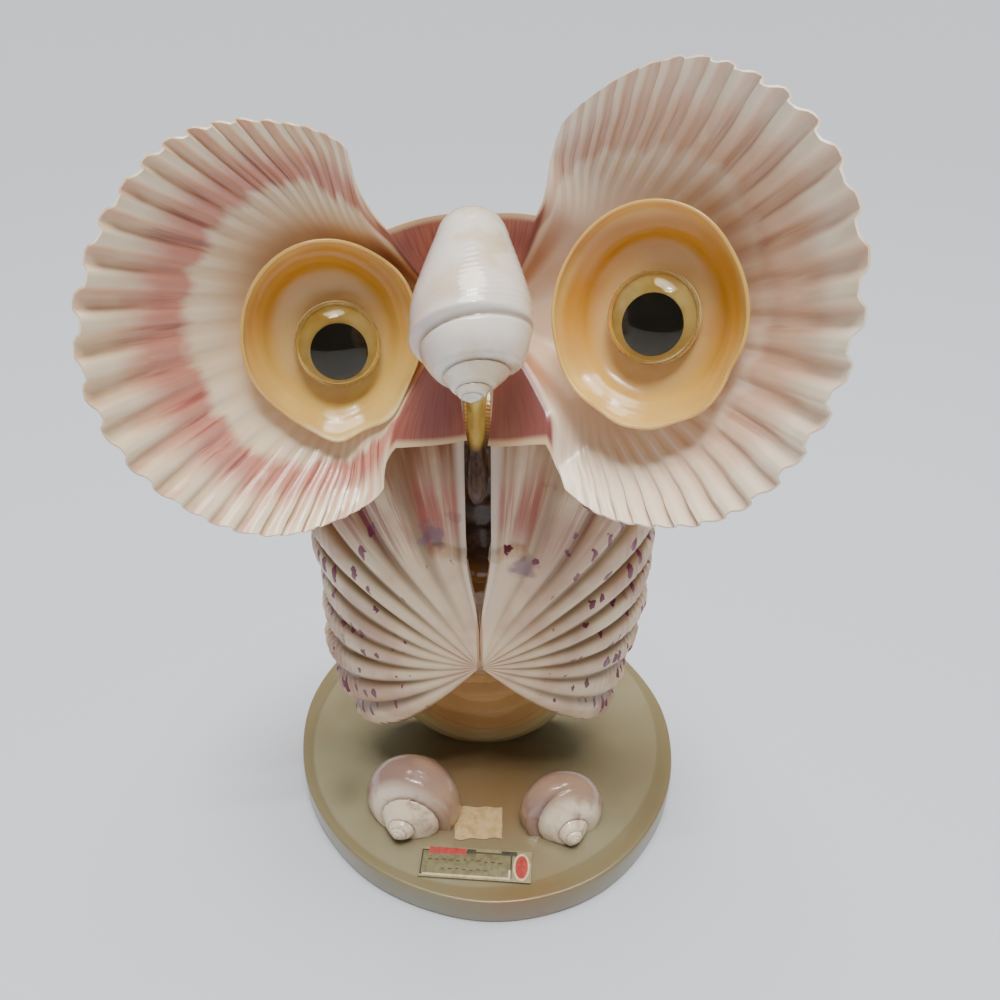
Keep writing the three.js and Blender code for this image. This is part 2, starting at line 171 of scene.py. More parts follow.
def grid_piece(name, columns, rows, form, towards=None):
    """A grid whose u and v are carried to form(u, v) = (points in mm, across, growth).

    An open sheet is turned so that its front looks towards a direction.
    """
    deselect()
    bpy.ops.mesh.primitive_grid_add(x_subdivisions=columns, y_subdivisions=rows, size=1)
    piece = bpy.context.object
    piece.name = name
    flat = vertex_places(piece)
    points, across, growth = form(flat[:, 0] + 0.5, flat[:, 1] + 0.5)
    piece.data.vertices.foreach_set("co", (points * MM).ravel())
    chart = piece.data.uv_layers[0]
    chart.name = "growth"
    chart.data.foreach_set("uv", np.stack([across, growth], 1)[corner_vertices(piece)].ravel())
    edit(piece, merge, outside)
    if towards is not None:
        facing = sum((face.normal * face.area for face in piece.data.polygons), Vector())
        if facing.dot(Vector(towards)) < 0:
            edit(piece, bpy.ops.mesh.flip_normals)
    print(name, len(piece.data.vertices), "vertices")
    return piece


# %% Walls, shading and handing over
def apply_modifier(piece, kind, **settings):
    select_only(piece)
    modifier = piece.modifiers.new(kind.lower(), kind)
    for key, value in settings.items():
        setattr(modifier, key, value)
    bpy.ops.object.modifier_apply(modifier=modifier.name)


def give_wall(piece, thickness, back_material=0):
    """Wall of a true thickness behind the sheet's front face, thinner where "wall" says so."""
    apply_modifier(
        piece, "SOLIDIFY", thickness=thickness * MM, offset=-1,
        vertex_group="wall" if piece.vertex_groups else "",
        material_offset=back_material, material_offset_rim=0,
    )


def hand_over(piece, slot, *nodes, angle=60):
    """Finishes a piece: smooth shading, its body and the node it stands for. slot is not used."""
    select_only(piece)
    bpy.ops.object.shade_smooth_by_angle(angle=math.radians(angle))
    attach(piece, "root")
    if nodes:
        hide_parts(*nodes)
    piece.data.calc_loop_triangles()
    print(piece.name, len(piece.data.loop_triangles), "triangles")


# %% [markdown]
# ## Finishes
#
# Every finish is a Principled shader with its own small tree. The shader's fixed values, such
# as gloss and coat, sit on its own sockets. Only colour, roughness and bump are worked out by
# nodes, from the growth map or from Object coordinates.

# %% A finish under construction
def paint(code):
    """Linear colour from a six figure screen colour."""
    shares = [int(code[i:i + 2], 16) / 255 for i in (0, 2, 4)]
    return (*(((x + 0.055) / 1.055) ** 2.4 if x > 0.04 else x / 12.92 for x in shares), 1)


class Finish:
    """A material built step by step. Most methods add a node and return its output."""

    def __init__(self, name, **sockets):
        self.material = bpy.data.materials.new(name)
        self.material.use_nodes = True
        self.tree = self.material.node_tree
        self.shader = self.tree.nodes["Principled BSDF"]
        for key, value in sockets.items():
            self.set(key.replace("_", " "), value)

    def set(self, socket, value):
        self.put(self.shader.inputs[socket], value)

    def put(self, socket, value):
        if isinstance(value, bpy.types.NodeSocket):
            self.tree.links.new(value, socket)
        elif value is not None:
            socket.default_value = value

    def add(self, kind, values=(), output=0, **settings):
        node = self.tree.nodes.new("ShaderNode" + kind)
        for key, value in settings.items():
            setattr(node, key, value)
        for key, value in dict(values).items():
            self.put(node.inputs[key], value)
        return node.outputs[output]

    def place(self):
        return self.add("TexCoord", output="Object")

    def sides(self):
        """How far to the right, how far back and how high, in metres."""
        return self.add("SeparateXYZ", {0: self.place()}).node.outputs

    def growth(self):
        """How far across the fan, how far from the umbo, and both as one vector."""
        chart = self.add("UVMap", uv_map="growth")
        parts = self.add("SeparateXYZ", {0: chart}).node
        return parts.outputs[0], parts.outputs[1], chart

    def math(self, operation, a, b=None, c=None):
        return self.add("Math", {0: a, 1: b, 2: c}, operation=operation)

    def stretch(self, vector, scale):
        return self.add("VectorMath", {0: vector, 1: scale}, operation="MULTIPLY")

    def away(self, vector, middle):
        """How far a place is from a middle that is given in mm, in metres."""
        middle = tuple(Vector(middle) * MM)
        return self.add(
            "VectorMath", {0: vector, 1: middle}, output="Value", operation="DISTANCE")

    def noise(self, vector, scale, detail, roughness):
        values = {"Vector": vector, "Scale": scale, "Detail": detail, "Roughness": roughness}
        return self.add("TexNoise", values)

    def cloudy(self, scale, detail=3):
        """Soft patches in the piece's own space, the smaller the larger the scale."""
        return self.noise(self.place(), scale, detail, 0.55)

    def streaky(self, chart, across, along, detail, roughness=0.6):
        """Patches on the growth map, drawn out along it or across it."""
        return self.noise(self.stretch(chart, (across, along, 1)), 1.0, detail, roughness)

    def fade(self, value, start, end):
        """From nought to one as a value goes from start to end."""
        return self.add(
            "MapRange", {0: value, 1: start, 2: end}, interpolation_type="SMOOTHSTEP")

    def window(self, value, low, high, soft):
        """One between low and high, fading to nought over a soft edge."""
        rise = self.fade(value, low - soft, low + soft)
        return self.math("MULTIPLY", rise, self.fade(value, high + soft, high - soft))

    def times(self, *values):
        total = values[0]
        for value in values[1:]:
            total = self.math("MULTIPLY", total, value)
        return total

    def blend(self, share, below, above):
        return self.add("Mix", {0: share, 6: below, 7: above}, output=2, data_type="RGBA")

    def two_tone(self, value, low, high, light, dark):
        """From one paint to another as a value goes from low to high."""
        return self.blend(self.fade(value, low, high), paint(light), paint(dark))

    def lay(self, colour, code, *shares):
        """Lays a paint over a colour, as strongly as the product of the shares."""
        return self.blend(self.times(*shares), colour, paint(code))

    def bump(self, height, depth, strength):
        values = {"Height": height, "Distance": depth * MM, "Strength": strength}
        self.set("Normal", self.add("Bump", values))

    def give(self, *pieces):
        for piece in pieces:
            piece.data.materials.append(self.material)


def mottled(name, scale, detail, ends, paints, **sockets):
    """A finish of two paints in soft patches, blended between two ends of the noise."""
    finish = Finish(name, **sockets)
    finish.set("Base Color", finish.two_tone(finish.cloudy(scale, detail), *ends, *paints))
    return finish


# %% [markdown]
# ## Resin base
#
# The base was poured into a shallow round mould: a disc with a thin raised lip where the
# resin crept up the mould's side. A cylinder is the right start. Its top is inset and pressed
# down to leave the lip, its edges are bevelled, and the whole is pressed slightly oval, as
# thin plastic moulds are. The shells that it holds are simply sunk in it.

# %% The cast disc
BASE_RADIUS = 51.9
BASE_OVAL = 0.028
BASE_OVAL_ANGLE = math.radians(39)
BASE_CENTRE = Vector((-1.1, -0.4))
BASE_TOP = 7.7
BASE_EDGE = 0.9
LIP_WIDTH = 3.0
LIP_HEIGHT = 0.6


def cast_disc():
    deselect()
    height = BASE_TOP + LIP_HEIGHT
    bpy.ops.mesh.primitive_cylinder_add(
        vertices=160, radius=BASE_RADIUS * MM, depth=height * MM,
        location=(0, 0, height / 2 * MM),
    )
    disc = bpy.context.object
    disc.name = "cast_resin_disc"
    bpy.ops.object.transform_apply()

    def sink_the_middle():
        bpy.ops.mesh.select_all(action="DESELECT")
        bpy.ops.object.mode_set(mode="OBJECT")
        for face in disc.data.polygons:
            face.select = face.normal.z > 0.9
        bpy.ops.object.mode_set(mode="EDIT")
        bpy.ops.mesh.inset(thickness=LIP_WIDTH * MM)
        bpy.ops.transform.translate(value=(0, 0, -LIP_HEIGHT * MM))
        bpy.ops.mesh.inset(thickness=LIP_WIDTH * MM)

    edit(disc, sink_the_middle)
    apply_modifier(
        disc, "BEVEL", width=BASE_EDGE * MM, segments=4, limit_method="ANGLE",
        angle_limit=math.radians(8),
    )
    for vertex in disc.data.vertices:
        angle = math.atan2(vertex.co.y, vertex.co.x)
        oval = 1 - BASE_OVAL * math.cos(2 * (angle - BASE_OVAL_ANGLE))
        wobble = 1 + 0.0025 * math.sin(5 * angle + 1) + 0.0015 * math.sin(11 * angle)
        vertex.co.x = vertex.co.x * oval * wobble + BASE_CENTRE.x * MM
        vertex.co.y = vertex.co.y * oval * wobble + BASE_CENTRE.y * MM
    return disc


resin_disc = cast_disc()

# %% [markdown]
# Clear resin goes olive and amber with age, most of all near the front edge and round the
# left foot, and its lip looks darker. Under the shells a brown shadow is painted on it. A
# shader that lets part of the light through and scatters part of it has that depth. Each
# stain, and the painted shadow, is a paint that fades out with the distance from its middle,
# and noise on that distance makes its edge cloudy.

# %% Aged resin
# The middle of each patch in mm, a painted shadow and then two stains, and in metres how far
# from it the patch is full and gone.
RESIN_STAINS_AND_SHADOW = [
    # Painted shadow: the brown shade that the body shell casts on the resin below it.
    dict(middle=(-2, -20, 5), full=0.016, gone=0.038, share=0.6, code="a87840"),
    dict(middle=(10, -56, 4), full=0.008, gone=0.028, share=0.45, code="b87a38"),
    dict(middle=(-37, -22, 8), full=0.005, gone=0.014, share=0.5, code="7a7050"),
]
# Where the lip's darker shade starts and ends, and how cloudy the stains' edges are, in metres.
LIP_SHADE_START, LIP_SHADE_END = 0.0475, 0.0485
CLOUDY_EDGE = 0.014

resin = Finish(
    "aged_resin", Roughness=0.28, IOR=1.45, Transmission_Weight=0.45, Coat_Weight=0.25,
    Coat_Roughness=0.12, Subsurface_Weight=0.3, Subsurface_Scale=0.006,
)
cloud = resin.cloudy(28)
from_middle = resin.away(resin.stretch(resin.place(), (1, 1, 0)), (*BASE_CENTRE, 0))
on_lip = resin.fade(from_middle, LIP_SHADE_START, LIP_SHADE_END)
resin_colour = resin.two_tone(cloud, 0.35, 0.7, "cac29e", "b6a984")
resin_colour = resin.lay(resin_colour, "988a5c", on_lip, 0.55)
for resin_patch in RESIN_STAINS_AND_SHADOW:
    from_patch = resin.away(resin.place(), resin_patch["middle"])
    ragged = resin.math("MULTIPLY_ADD", cloud, CLOUDY_EDGE, from_patch)
    near = resin.fade(ragged, resin_patch["gone"], resin_patch["full"])
    resin_colour = resin.lay(resin_colour, resin_patch["code"], near, resin_patch["share"])
resin.set("Base Color", resin_colour)
resin.bump(resin.cloudy(60, 2), 0.25, 0.5)
resin.give(resin_disc)
hand_over(resin_disc, "resin", "resin_base", angle=35)

# %% [markdown]
# ## Head scallops
#
# Each half of the head is one scallop valve, hollow side forward, with its hinge upright
# behind the beak. A lathe can't give its fan of flutes, and carving them one by one would
# take a day, so the grid formula draws them: the fan turns from ear to disc to ear, and the
# bowl's depth rises and falls with each flute. The inside of a scallop has broad flat grooves
# and narrow ridges, which turn into the teeth of the margin.

# %% Where the two heads stand
RIBS = 30
RIB_CROWDING, FLUTE_DEPTH = 0.65, 0.46
SHOULDER = math.radians(59)
SHOULDER_GAP = math.radians(3)
NOTCH, NOTCH_START = math.radians(10), 20
EAR_UP, EAR_DOWN = 17.5, 22.5
DISC_TALL = 1.1
SCALLOP_WALL, MARGIN_WALL = 1.5, 0.35

HEADS = {
    "left": dict(
        out=-1, umbo=(-4.3, -19, 136), sweep=31, lean=12, roll=3, radius=29.3, setback=1.06,
        depth=15, notch_end=36, cup=dict(length=31.5, height=34.5, turn=14), seed=3,
    ),
    "right": dict(
        out=1, umbo=(0.3, -19, 136), sweep=41, lean=24.5, roll=1.3, radius=30.6, setback=1.08,
        depth=16.5, notch_end=30, cup=dict(length=32.5, height=36, turn=16), seed=8,
    ),
}


def head_frame(head):
    """Matrix from the valve's own directions, in mm, to the owl: out, along the hinge, back."""
    sweep = math.radians(head["sweep"])
    turn = Matrix.Rotation(math.radians(-head["roll"]), 3, "Y")
    turn = turn @ Matrix.Rotation(math.radians(-head["lean"]), 3, "X")
    out = turn @ Vector((head["out"] * math.cos(sweep), -math.sin(sweep), 0))
    hinge = turn @ Vector((0, 0, -head["out"]))
    rotation = Matrix((out, hinge, out.cross(hinge).normalized())).transposed()
    return Matrix.Translation(head["umbo"]) @ rotation.to_4x4()


def carried(points, matrix):
    """Points in mm, taken by a matrix."""
    m = np.array(matrix)
    return points @ m[:3, :3].T + m[:3, 3]


# %% Outline and bowl of a valve
def fan_of(rib):
    """Ribs are widest in the middle of a valve and crowd towards its shoulders."""
    side = np.linspace(-1, 1, 401)
    place = (side + RIB_CROWDING * side ** 3) / (1 + RIB_CROWDING)
    return np.interp(2 * rib / RIBS - 1, place, side) * SHOULDER


def ear_and_disc(head, fan):
    """Distance from the umbo to the straight edge of an ear and to the round margin."""
    upper = fan * head["out"] < 0
    ear = np.where(upper, EAR_UP, EAR_DOWN) / np.maximum(np.sin(np.abs(fan)), 0.2)
    back = head["radius"] * head["setback"]
    flat = np.arctan2(np.sin(fan) / DISC_TALL, np.cos(fan))
    inside = np.maximum(head["radius"] ** 2 - (back * np.sin(flat)) ** 2, 0)
    stretched = np.hypot(np.cos(flat), DISC_TALL * np.sin(flat))
    disc = (back * np.cos(flat) + np.sqrt(inside)) * stretched
    return ear, disc


def bowl_depth(head, fan, share):
    """Deepest inside the middle of a rib, and shallow near the shoulders."""
    x = share ** 0.75
    across = np.minimum(np.abs(fan) / SHOULDER, 1)
    side = 0.2 + 0.8 * np.maximum(np.cos(across * np.pi / 2), 0) ** 0.6
    return head["depth"] * 4 * x * (1 - x) * side


def notched(head, fan, radius):
    """The shoulders draw in near the ears, which leaves a notch above each ear."""
    over = np.abs(fan)
    rise = smooth_step(over, 0.4 * SHOULDER, SHOULDER)
    fall = (np.pi / 2 - over) / (np.pi / 2 - SHOULDER)
    near = np.where(over < SHOULDER, rise, fall)
    low = 1 - smooth_step(radius, NOTCH_START, head["notch_end"])
    return fan - np.sign(fan) * NOTCH * near * low


# %% Flutes, teeth and ears
EAR_COLUMNS, GAP_COLUMNS, FLUTE_COLUMNS = 12, 12, 10
# How far each kind of unevenness reaches, in mm.
TOOTH, NIBBLE, RAGGED, WARP, EAR_FOLD = 0.42, 0.3, 0.6, 0.35, 6.4
GROWTH_STEP, STEP_PHASE = 0.14, 46


def scallop_form(head):
    """The form of one valve. The grid's columns are shared out to the ears and the ribs."""
    stops = np.cumsum([0, EAR_COLUMNS, GAP_COLUMNS, RIBS * FLUTE_COLUMNS, GAP_COLUMNS, EAR_COLUMNS])
    edge = SHOULDER + SHOULDER_GAP
    turns = [-np.pi / 2, -edge, -SHOULDER, SHOULDER, edge, np.pi / 2]
    matrix = head_frame(head)
    seed = head["seed"]

    def form(u, share):
        stop = u * stops[-1]
        fan = np.interp(stop, stops, turns)
        on_disc = np.abs(fan) < SHOULDER
        on_ear = np.clip((np.abs(fan) - SHOULDER) / SHOULDER_GAP, 0, 1)
        rib = np.where(
            on_disc, (stop - stops[2]) / FLUTE_COLUMNS, (fan + SHOULDER) / (2 * SHOULDER) * RIBS)
        fan = np.where(on_disc, fan_of(rib), fan)
        inner = smooth_step(SHOULDER - np.abs(fan), 0, math.radians(8))
        wander = 0.12 * ripple(rib * 0.8, share * 2, seed)
        phase = np.abs((rib + wander) % 1 - 0.5) * 2
        ridge = 2 * smooth_step(phase, 0.3, 0.66) - 1
        crowded = (1 + RIB_CROWDING) / (1 + 3 * RIB_CROWDING * (fan / SHOULDER) ** 2)
        size = (0.8 + 0.4 * ripple(rib * 1.1, rib * 0, seed + 1)) * inner * crowded ** 0.5
        flute = -FLUTE_DEPTH * smooth_step(share, 0.5, 1) * ridge * size
        toothed = 1 - 2 * smooth_step(phase, 0.25, 0.75)
        tooth = TOOTH * smooth_step(share, 0.8, 1) * toothed * size
        nibbled = NIBBLE * ripple(rib * 9, rib * 4, seed + 9, 7) * smooth_step(share, 0.94, 1)
        ragged = RAGGED * ripple(rib * 0.9, rib * 0, seed + 2) * smooth_step(share, 0.6, 1)
        ear_reach, disc_reach = ear_and_disc(head, fan)
        reach = disc_reach + (ear_reach - disc_reach) * on_ear ** 0.7
        radius = reach * share + (tooth + (ragged + nibbled) * inner) * (1 - on_ear)
        steps = GROWTH_STEP * np.sin(share * STEP_PHASE + 2 * ripple(rib, share, 5))
        steps *= smooth_step(share, 0.7, 0.95)
        warp = WARP * ripple(rib * 0.55, share * 4, seed + 3) * share
        depth = bowl_depth(head, fan, share) * (1 - 0.4 * on_ear) + (flute + steps + warp) * inner
        depth += EAR_FOLD * on_ear * (1 - on_ear) * smooth_step(radius, NOTCH_START, 34)
        turned = notched(head, fan, radius)
        points = np.stack([radius * np.cos(turned), radius * np.sin(turned), depth], 1)
        return carried(points, matrix), rib, share

    return form


# %% Two valves with thin margins
def thin_towards(piece, share_left, start):
    """Wall factor that falls to share_left at the margin, read from the growth map."""
    growth = np.empty(len(piece.data.loops) * 2)
    piece.data.uv_layers["growth"].data.foreach_get("uv", growth)
    factor = np.empty(len(piece.data.vertices))
    factor[corner_vertices(piece)] = 1 - (1 - share_left) * smooth_step(growth[1::2], start, 1)
    group = piece.vertex_groups.new(name="wall")
    for i, value in enumerate(factor):
        group.add([i], value, "REPLACE")


scallops = {}
for side, head in HEADS.items():
    columns = 2 * (EAR_COLUMNS + GAP_COLUMNS) + RIBS * FLUTE_COLUMNS
    front = -(head_frame(head).to_3x3() @ Vector((0, 0, 1)))
    scallops[side] = grid_piece(f"fluted_scallop_{side}", columns, 72, scallop_form(head), front)
    thin_towards(scallops[side], MARGIN_WALL / SCALLOP_WALL, 0.7)

# %% [markdown]
# The inside of the left valve has a ring of rose dashes that follow the grooves, and the right
# one has tan streaks towards its upper margin. Both have brown-rose ears with a pale edge.
# Noise that is stretched along the growth lines and cut by windows in growth gives dashes of
# uneven length.

# %% Scallop inside
MARKS = {
    "left": dict(
        creams=("f6e2c0", "ecd0a8"), ring="cc786a", streak="7c2634", ring_at=(0.73, 0.84),
        blush=0.82, above=0,
    ),
    "right": dict(
        creams=("fbefde", "f2dcc4"), ring="cf9270", streak="9c5440", ring_at=(0.74, 0.86),
        blush=0.55, above=0.14,
    ),
}


def ears_of(shell, rib, growth, drift, threads):
    """Where the ears are, and their colour."""
    low_ear = shell.fade(rib, -0.3, -0.55)
    high_ear = shell.fade(rib, RIBS + 0.3, RIBS + 0.55)
    colour = shell.two_tone(drift, 0.38, 0.62, "b4705a", "8c5654")
    colour = shell.lay(colour, "8a4440", shell.fade(threads, 0.45, 0.62), 0.5)
    colour = shell.lay(colour, "e0c49c", shell.fade(growth, 0.93, 0.985))
    return shell.math("MAXIMUM", low_ear, high_ear), colour


def scallop_inside(side, creams, ring, streak, ring_at, blush, above):
    """ring and streak are the paints of the marks, and ring_at is their window in growth.

    blush is their strength, and they fade out below the height above, in metres.
    """
    shell = Finish(
        f"scallop_inside_{side}", Roughness=0.3, Coat_Weight=0.35, Coat_Roughness=0.12,
        Subsurface_Weight=0.12, Subsurface_Scale=0.002,
    )
    rib, growth, chart = shell.growth()
    _, _, high = shell.sides()
    drift = shell.cloudy(55, 2)
    dashes = shell.streaky(chart, 1.05, 3.2, 4)
    threads = shell.streaky(chart, 3.4, 2.0, 3)
    from_ridge = shell.math("PINGPONG", rib, 0.5)
    in_groove = shell.fade(from_ridge, 0.15, 0.33)
    ridge_highlight = shell.fade(from_ridge, 0.3, 0.12)
    colour = shell.two_tone(drift, 0.35, 0.65, *creams)
    # Painted highlight: the narrow ridges are lightened towards the margin.
    colour = shell.lay(colour, "faecd2", ridge_highlight, shell.fade(growth, 0.5, 0.8), 0.6)

    start, end = ring_at
    shifted = shell.math("ADD", growth, shell.math("MULTIPLY_ADD", dashes, 0.16, -0.08))
    band = shell.times(
        shell.fade(shifted, start - 0.02, start + 0.03), shell.fade(shifted, end + 0.1, end - 0.04))
    marked = shell.times(shell.fade(high, above - 0.03, above), blush)
    colour = shell.lay(colour, ring, band, shell.fade(dashes, 0.2, 0.38), marked)
    colour = shell.lay(colour, streak, band, in_groove, shell.fade(threads, 0.48, 0.62), marked, 0.8)
    trail = shell.times(shell.fade(growth, start, end), in_groove, shell.fade(dashes, 0.44, 0.6))
    colour = shell.lay(colour, ring, trail, marked, 0.5)

    # High on the valve the grooves are painted tan-brown: partly the shell's own colour, partly painted
    # shade where the upper inside faces down.
    upper = shell.times(shell.fade(high, 0.135, 0.165), shell.fade(growth, 0.5, 0.75))
    colour = shell.lay(colour, "a8835f", upper, in_groove, 0.3)
    # Near the umbo, round the cup, the inside is tinted orange: partly the shell's own colour, partly
    # painted amber shade from the cup.
    colour = shell.lay(colour, "dfb078", shell.fade(growth, 0.46, 0.22), 0.4)
    from_shoulder = shell.math("PINGPONG", rib, RIBS / 2)
    lip = shell.times(shell.fade(from_shoulder, 2.2, 0.2), shell.fade(growth, 0.75, 0.35))
    colour = shell.lay(colour, "c07a48", lip, 0.8)
    ears, ear_colour = ears_of(shell, rib, growth, drift, threads)
    shell.set("Base Color", shell.blend(ears, colour, ear_colour))
    shell.bump(threads, 0.12, 0.4)
    return shell


# %% Scallop outside
def scallop_outside():
    shell = Finish("scallop_outside", Roughness=0.5, Subsurface_Weight=0.08, Subsurface_Scale=0.002)
    rib, _, chart = shell.growth()
    colour = shell.two_tone(shell.streaky(chart, 0.5, 7, 4), 0.45, 0.62, "e3d5c3", "b78478")
    furrow = shell.fade(shell.math("PINGPONG", rib, 0.5), 0.16, 0.02)
    shell.set("Base Color", shell.lay(colour, "9c7a5e", furrow, 0.5))
    shell.bump(shell.streaky(chart, 0.3, 70, 2, 0.55), 0.3, 0.7)
    return shell


outside_finish = scallop_outside()
for side, scallop in scallops.items():
    scallop_inside(side, **MARKS[side]).give(scallop)
    outside_finish.give(scallop)
    give_wall(scallop, SCALLOP_WALL, back_material=1)
    hand_over(scallop, "scallop_shell", f"head_scallop_{side}")

# %% [markdown]
# ## Eye cups
#
# The cups are thin amber shells with a pearly floor. Their rims were never cut true: the left
# one comes to a point below, and both are chipped and frilled along the bottom. A dish formula
# with a few bumps round its rim keeps that. Where each cup sits is read from its solid, so it
# rests where it was glued.

# %% Where the cups sit
def cup_axes(head):
    """The cup's own directions in the owl's space: its mouth opens along the third."""
    turn = Matrix.Rotation(math.radians(180 - head["cup"]["turn"]), 4, "Y")
    return head_frame(head) @ turn


def seat_of(node, axes):
    """Lowest and highest corner of a node, in mm, in the given directions."""
    points = vertex_places(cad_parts[node]) / MM
    local = carried(points, axes.inverted())
    return Vector(local.min(0)), Vector(local.max(0))


def cup_place(side):
    axes = cup_axes(HEADS[side])
    low, high = seat_of(f"eye_cup_{side}", axes)
    return axes @ Matrix.Translation(((low.x + high.x) / 2, (low.y + high.y) / 2, high.z))


# %% Dishes with an uneven rim
CUP_DEPTH, CUP_WALL, CUP_STEEP, CUP_FLARE = 8.5, 1.2, 0.8, 0.1
CUP_EDGE = 0.25
# Each bump's place and width in degrees round the rim, and its height as a share of the radius.
RIM_BUMPS = {
    "left": [(-97, 13, 0.07), (-132, 18, -0.045), (-55, 12, 0.03), (-30, 12, -0.035), (35, 15, 0.03)],
    "right": [(125, 14, 0.035), (150, 9, -0.035), (95, 12, 0.02), (60, 14, -0.02), (-150, 20, -0.025)],
}
# The middle of the frilled part of each rim, which hangs downward, and its width, in degrees.
FRILL_MIDDLE = {"left": -85, "right": 75}
FRILL_WIDTH = 65
# How far the bumps and the frill lift the lip, and how high the growth rings stand, in mm.
LIP_LIFT, FRILL_LIFT, RING_HEIGHT = 12.6, 1.6, 0.035


def cup_form(side):
    cup = HEADS[side]["cup"]
    tall = cup["height"] / cup["length"]
    matrix = cup_place(side)
    seed = HEADS[side]["seed"]

    def form(u, v):
        angle = 2 * np.pi * u
        t = v * np.pi / 2

        def hump(middle, width):
            """One at a place on the rim, falling off to both sides."""
            off = (np.degrees(angle) - middle + 180) % 360 - 180
            return np.exp(-(off / width) ** 2)

        bumps = sum(height * hump(middle, width) for middle, width, height in RIM_BUMPS[side])
        frill = hump(FRILL_MIDDLE[side], FRILL_WIDTH) * v ** 5
        chips = ripple(np.cos(angle) * 9, np.sin(angle) * 9, seed + 6, 7)
        reach = 1 + bumps * v ** 3 + 0.045 * frill * chips
        flare = 1 - CUP_FLARE * np.sin(np.pi * smooth_step(v, 0.42, 1))
        r = (cup["length"] / 2 - CUP_WALL) * np.sin(t) * reach * flare
        crimp = ripple(np.cos(angle) * 12, np.sin(angle) * 12 + v * 5, seed + 7)
        lip = LIP_LIFT * bumps * v ** 6 + FRILL_LIFT * frill * crimp
        around = ripple(np.cos(angle) * 2.4, np.sin(angle) * 2.4 + v * 3, seed + 4)
        rings = RING_HEIGHT * np.sin(v * 60 + 5 * around) * smooth_step(v, 0.6, 0.8)
        z = -(CUP_DEPTH - CUP_WALL) * np.cos(t) ** CUP_STEEP + lip + 0.35 * around * v ** 2 + rings
        points = np.stack([r * np.cos(angle), r * np.sin(angle) * tall, z], 1)
        return carried(points, matrix), u, v

    return form


cups = {}
for side in HEADS:
    mouth = cup_place(side).to_3x3() @ Vector((0, 0, 1))
    cups[side] = grid_piece(f"amber_cup_{side}", 160, 64, cup_form(side), mouth)
    thin_towards(cups[side], 0.5, 0.75)
    give_wall(cups[side], CUP_WALL)
    apply_modifier(
        cups[side], "BEVEL", width=CUP_EDGE * MM, segments=3, limit_method="ANGLE",
        angle_limit=math.radians(50),
    )

# %% [markdown]
# The wall is amber, painted darker the higher it stands as painted shade, and pales to a peach
# floor and a creamy lip below. So the colour follows both the growth and the height. A little
# noise on the growth keeps the zones from looking turned on a lathe.

# %% Amber shell
amber_cup = Finish(
    "amber_cup", Roughness=0.26, IOR=1.45, Coat_Weight=0.35, Coat_Roughness=0.08,
    Subsurface_Weight=0.35, Subsurface_Scale=0.003, Transmission_Weight=0.12,
)
_, cup_growth, _ = amber_cup.growth()
_, _, cup_height = amber_cup.sides()
veil = amber_cup.cloudy(130)
wavy = amber_cup.math("MULTIPLY_ADD", amber_cup.cloudy(45, 2), 0.3, cup_growth)
# Painted shade: the amber wall is darker the higher it stands.
shaded_cup_wall = amber_cup.two_tone(cup_height, 0.124, 0.146, "f2c46a", "d6942e")
amber_colour = amber_cup.blend(amber_cup.fade(wavy, 0.42, 0.74), paint("efc88c"), shaded_cup_wall)
amber_colour = amber_cup.lay(amber_colour, "ecbf6a", amber_cup.fade(wavy, 0.96, 1.1))
low_lip = amber_cup.times(
    amber_cup.fade(cup_growth, 0.9, 1.0), amber_cup.fade(cup_height, 0.134, 0.116))
amber_colour = amber_cup.lay(amber_colour, "f8e2ac", low_lip, amber_cup.fade(veil, 0.36, 0.52))
amber_colour = amber_cup.lay(amber_colour, "d69a62", amber_cup.fade(veil, 0.5, 0.7), 0.35)
amber_cup.set("Base Color", amber_colour)
amber_cup.bump(amber_cup.cloudy(260), 0.25, 0.5)
amber_cup.give(*cups.values())
for side, cup in cups.items():
    hand_over(cup, "amber_shell", f"eye_cup_{side}")

# %% [markdown]
# ## Googly eyes
#
# A googly eye is a card disc, a loose black disc and a clear plastic dome. The discs are
# cylinders with bevelled edges. The dome starts as a sphere that is cut in half and flattened,
# and gets a true wall, because light has to pass two faces to look like thin plastic.

# %% Discs and domes
DOME_WALL = 0.7
DOME_CUT = 0.05


def eye_seat(side, part):
    """The middle of an eye part's back face, and its radius and height, in mm."""
    axes = cup_axes(HEADS[side])
    low, high = seat_of(f"eye_{part}_{side}", axes)
    middle = (low + high) / 2
    matrix = axes @ Matrix.Translation((middle.x, middle.y, low.z))
    return matrix, (high.x - low.x) / 2, high.z - low.z


def settle(piece, matrix):
    """Takes a piece modelled in metres at the origin to a place given in mm."""
    placed = matrix.copy()
    placed.translation *= MM
    piece.data.transform(placed)
    piece.data.update()


def thin_disc(name, side, part, edge):
    matrix, radius, height = eye_seat(side, part)
    deselect()
    bpy.ops.mesh.primitive_cylinder_add(
        vertices=72, radius=radius * MM, depth=height * MM, location=(0, 0, height / 2 * MM))
    disc = bpy.context.object
    disc.name = name
    bpy.ops.object.transform_apply()
    apply_modifier(disc, "BEVEL", width=edge * MM, segments=3, limit_method="ANGLE")
    settle(disc, matrix)
    return disc


def clear_dome(side):
    matrix, radius, height = eye_seat(side, "dome")
    deselect()
    bpy.ops.mesh.primitive_uv_sphere_add(segments=72, ring_count=36, radius=radius * MM)
    dome = bpy.context.object
    dome.name = f"clear_dome_{side}"

    def halve():
        bpy.ops.mesh.bisect(plane_co=(0, 0, DOME_CUT * MM), plane_no=(0, 0, 1), clear_inner=True)

    edit(dome, halve)
    for vertex in dome.data.vertices:
        vertex.co.z *= height / radius
    give_wall(dome, DOME_WALL)
    settle(dome, matrix)
    return dome


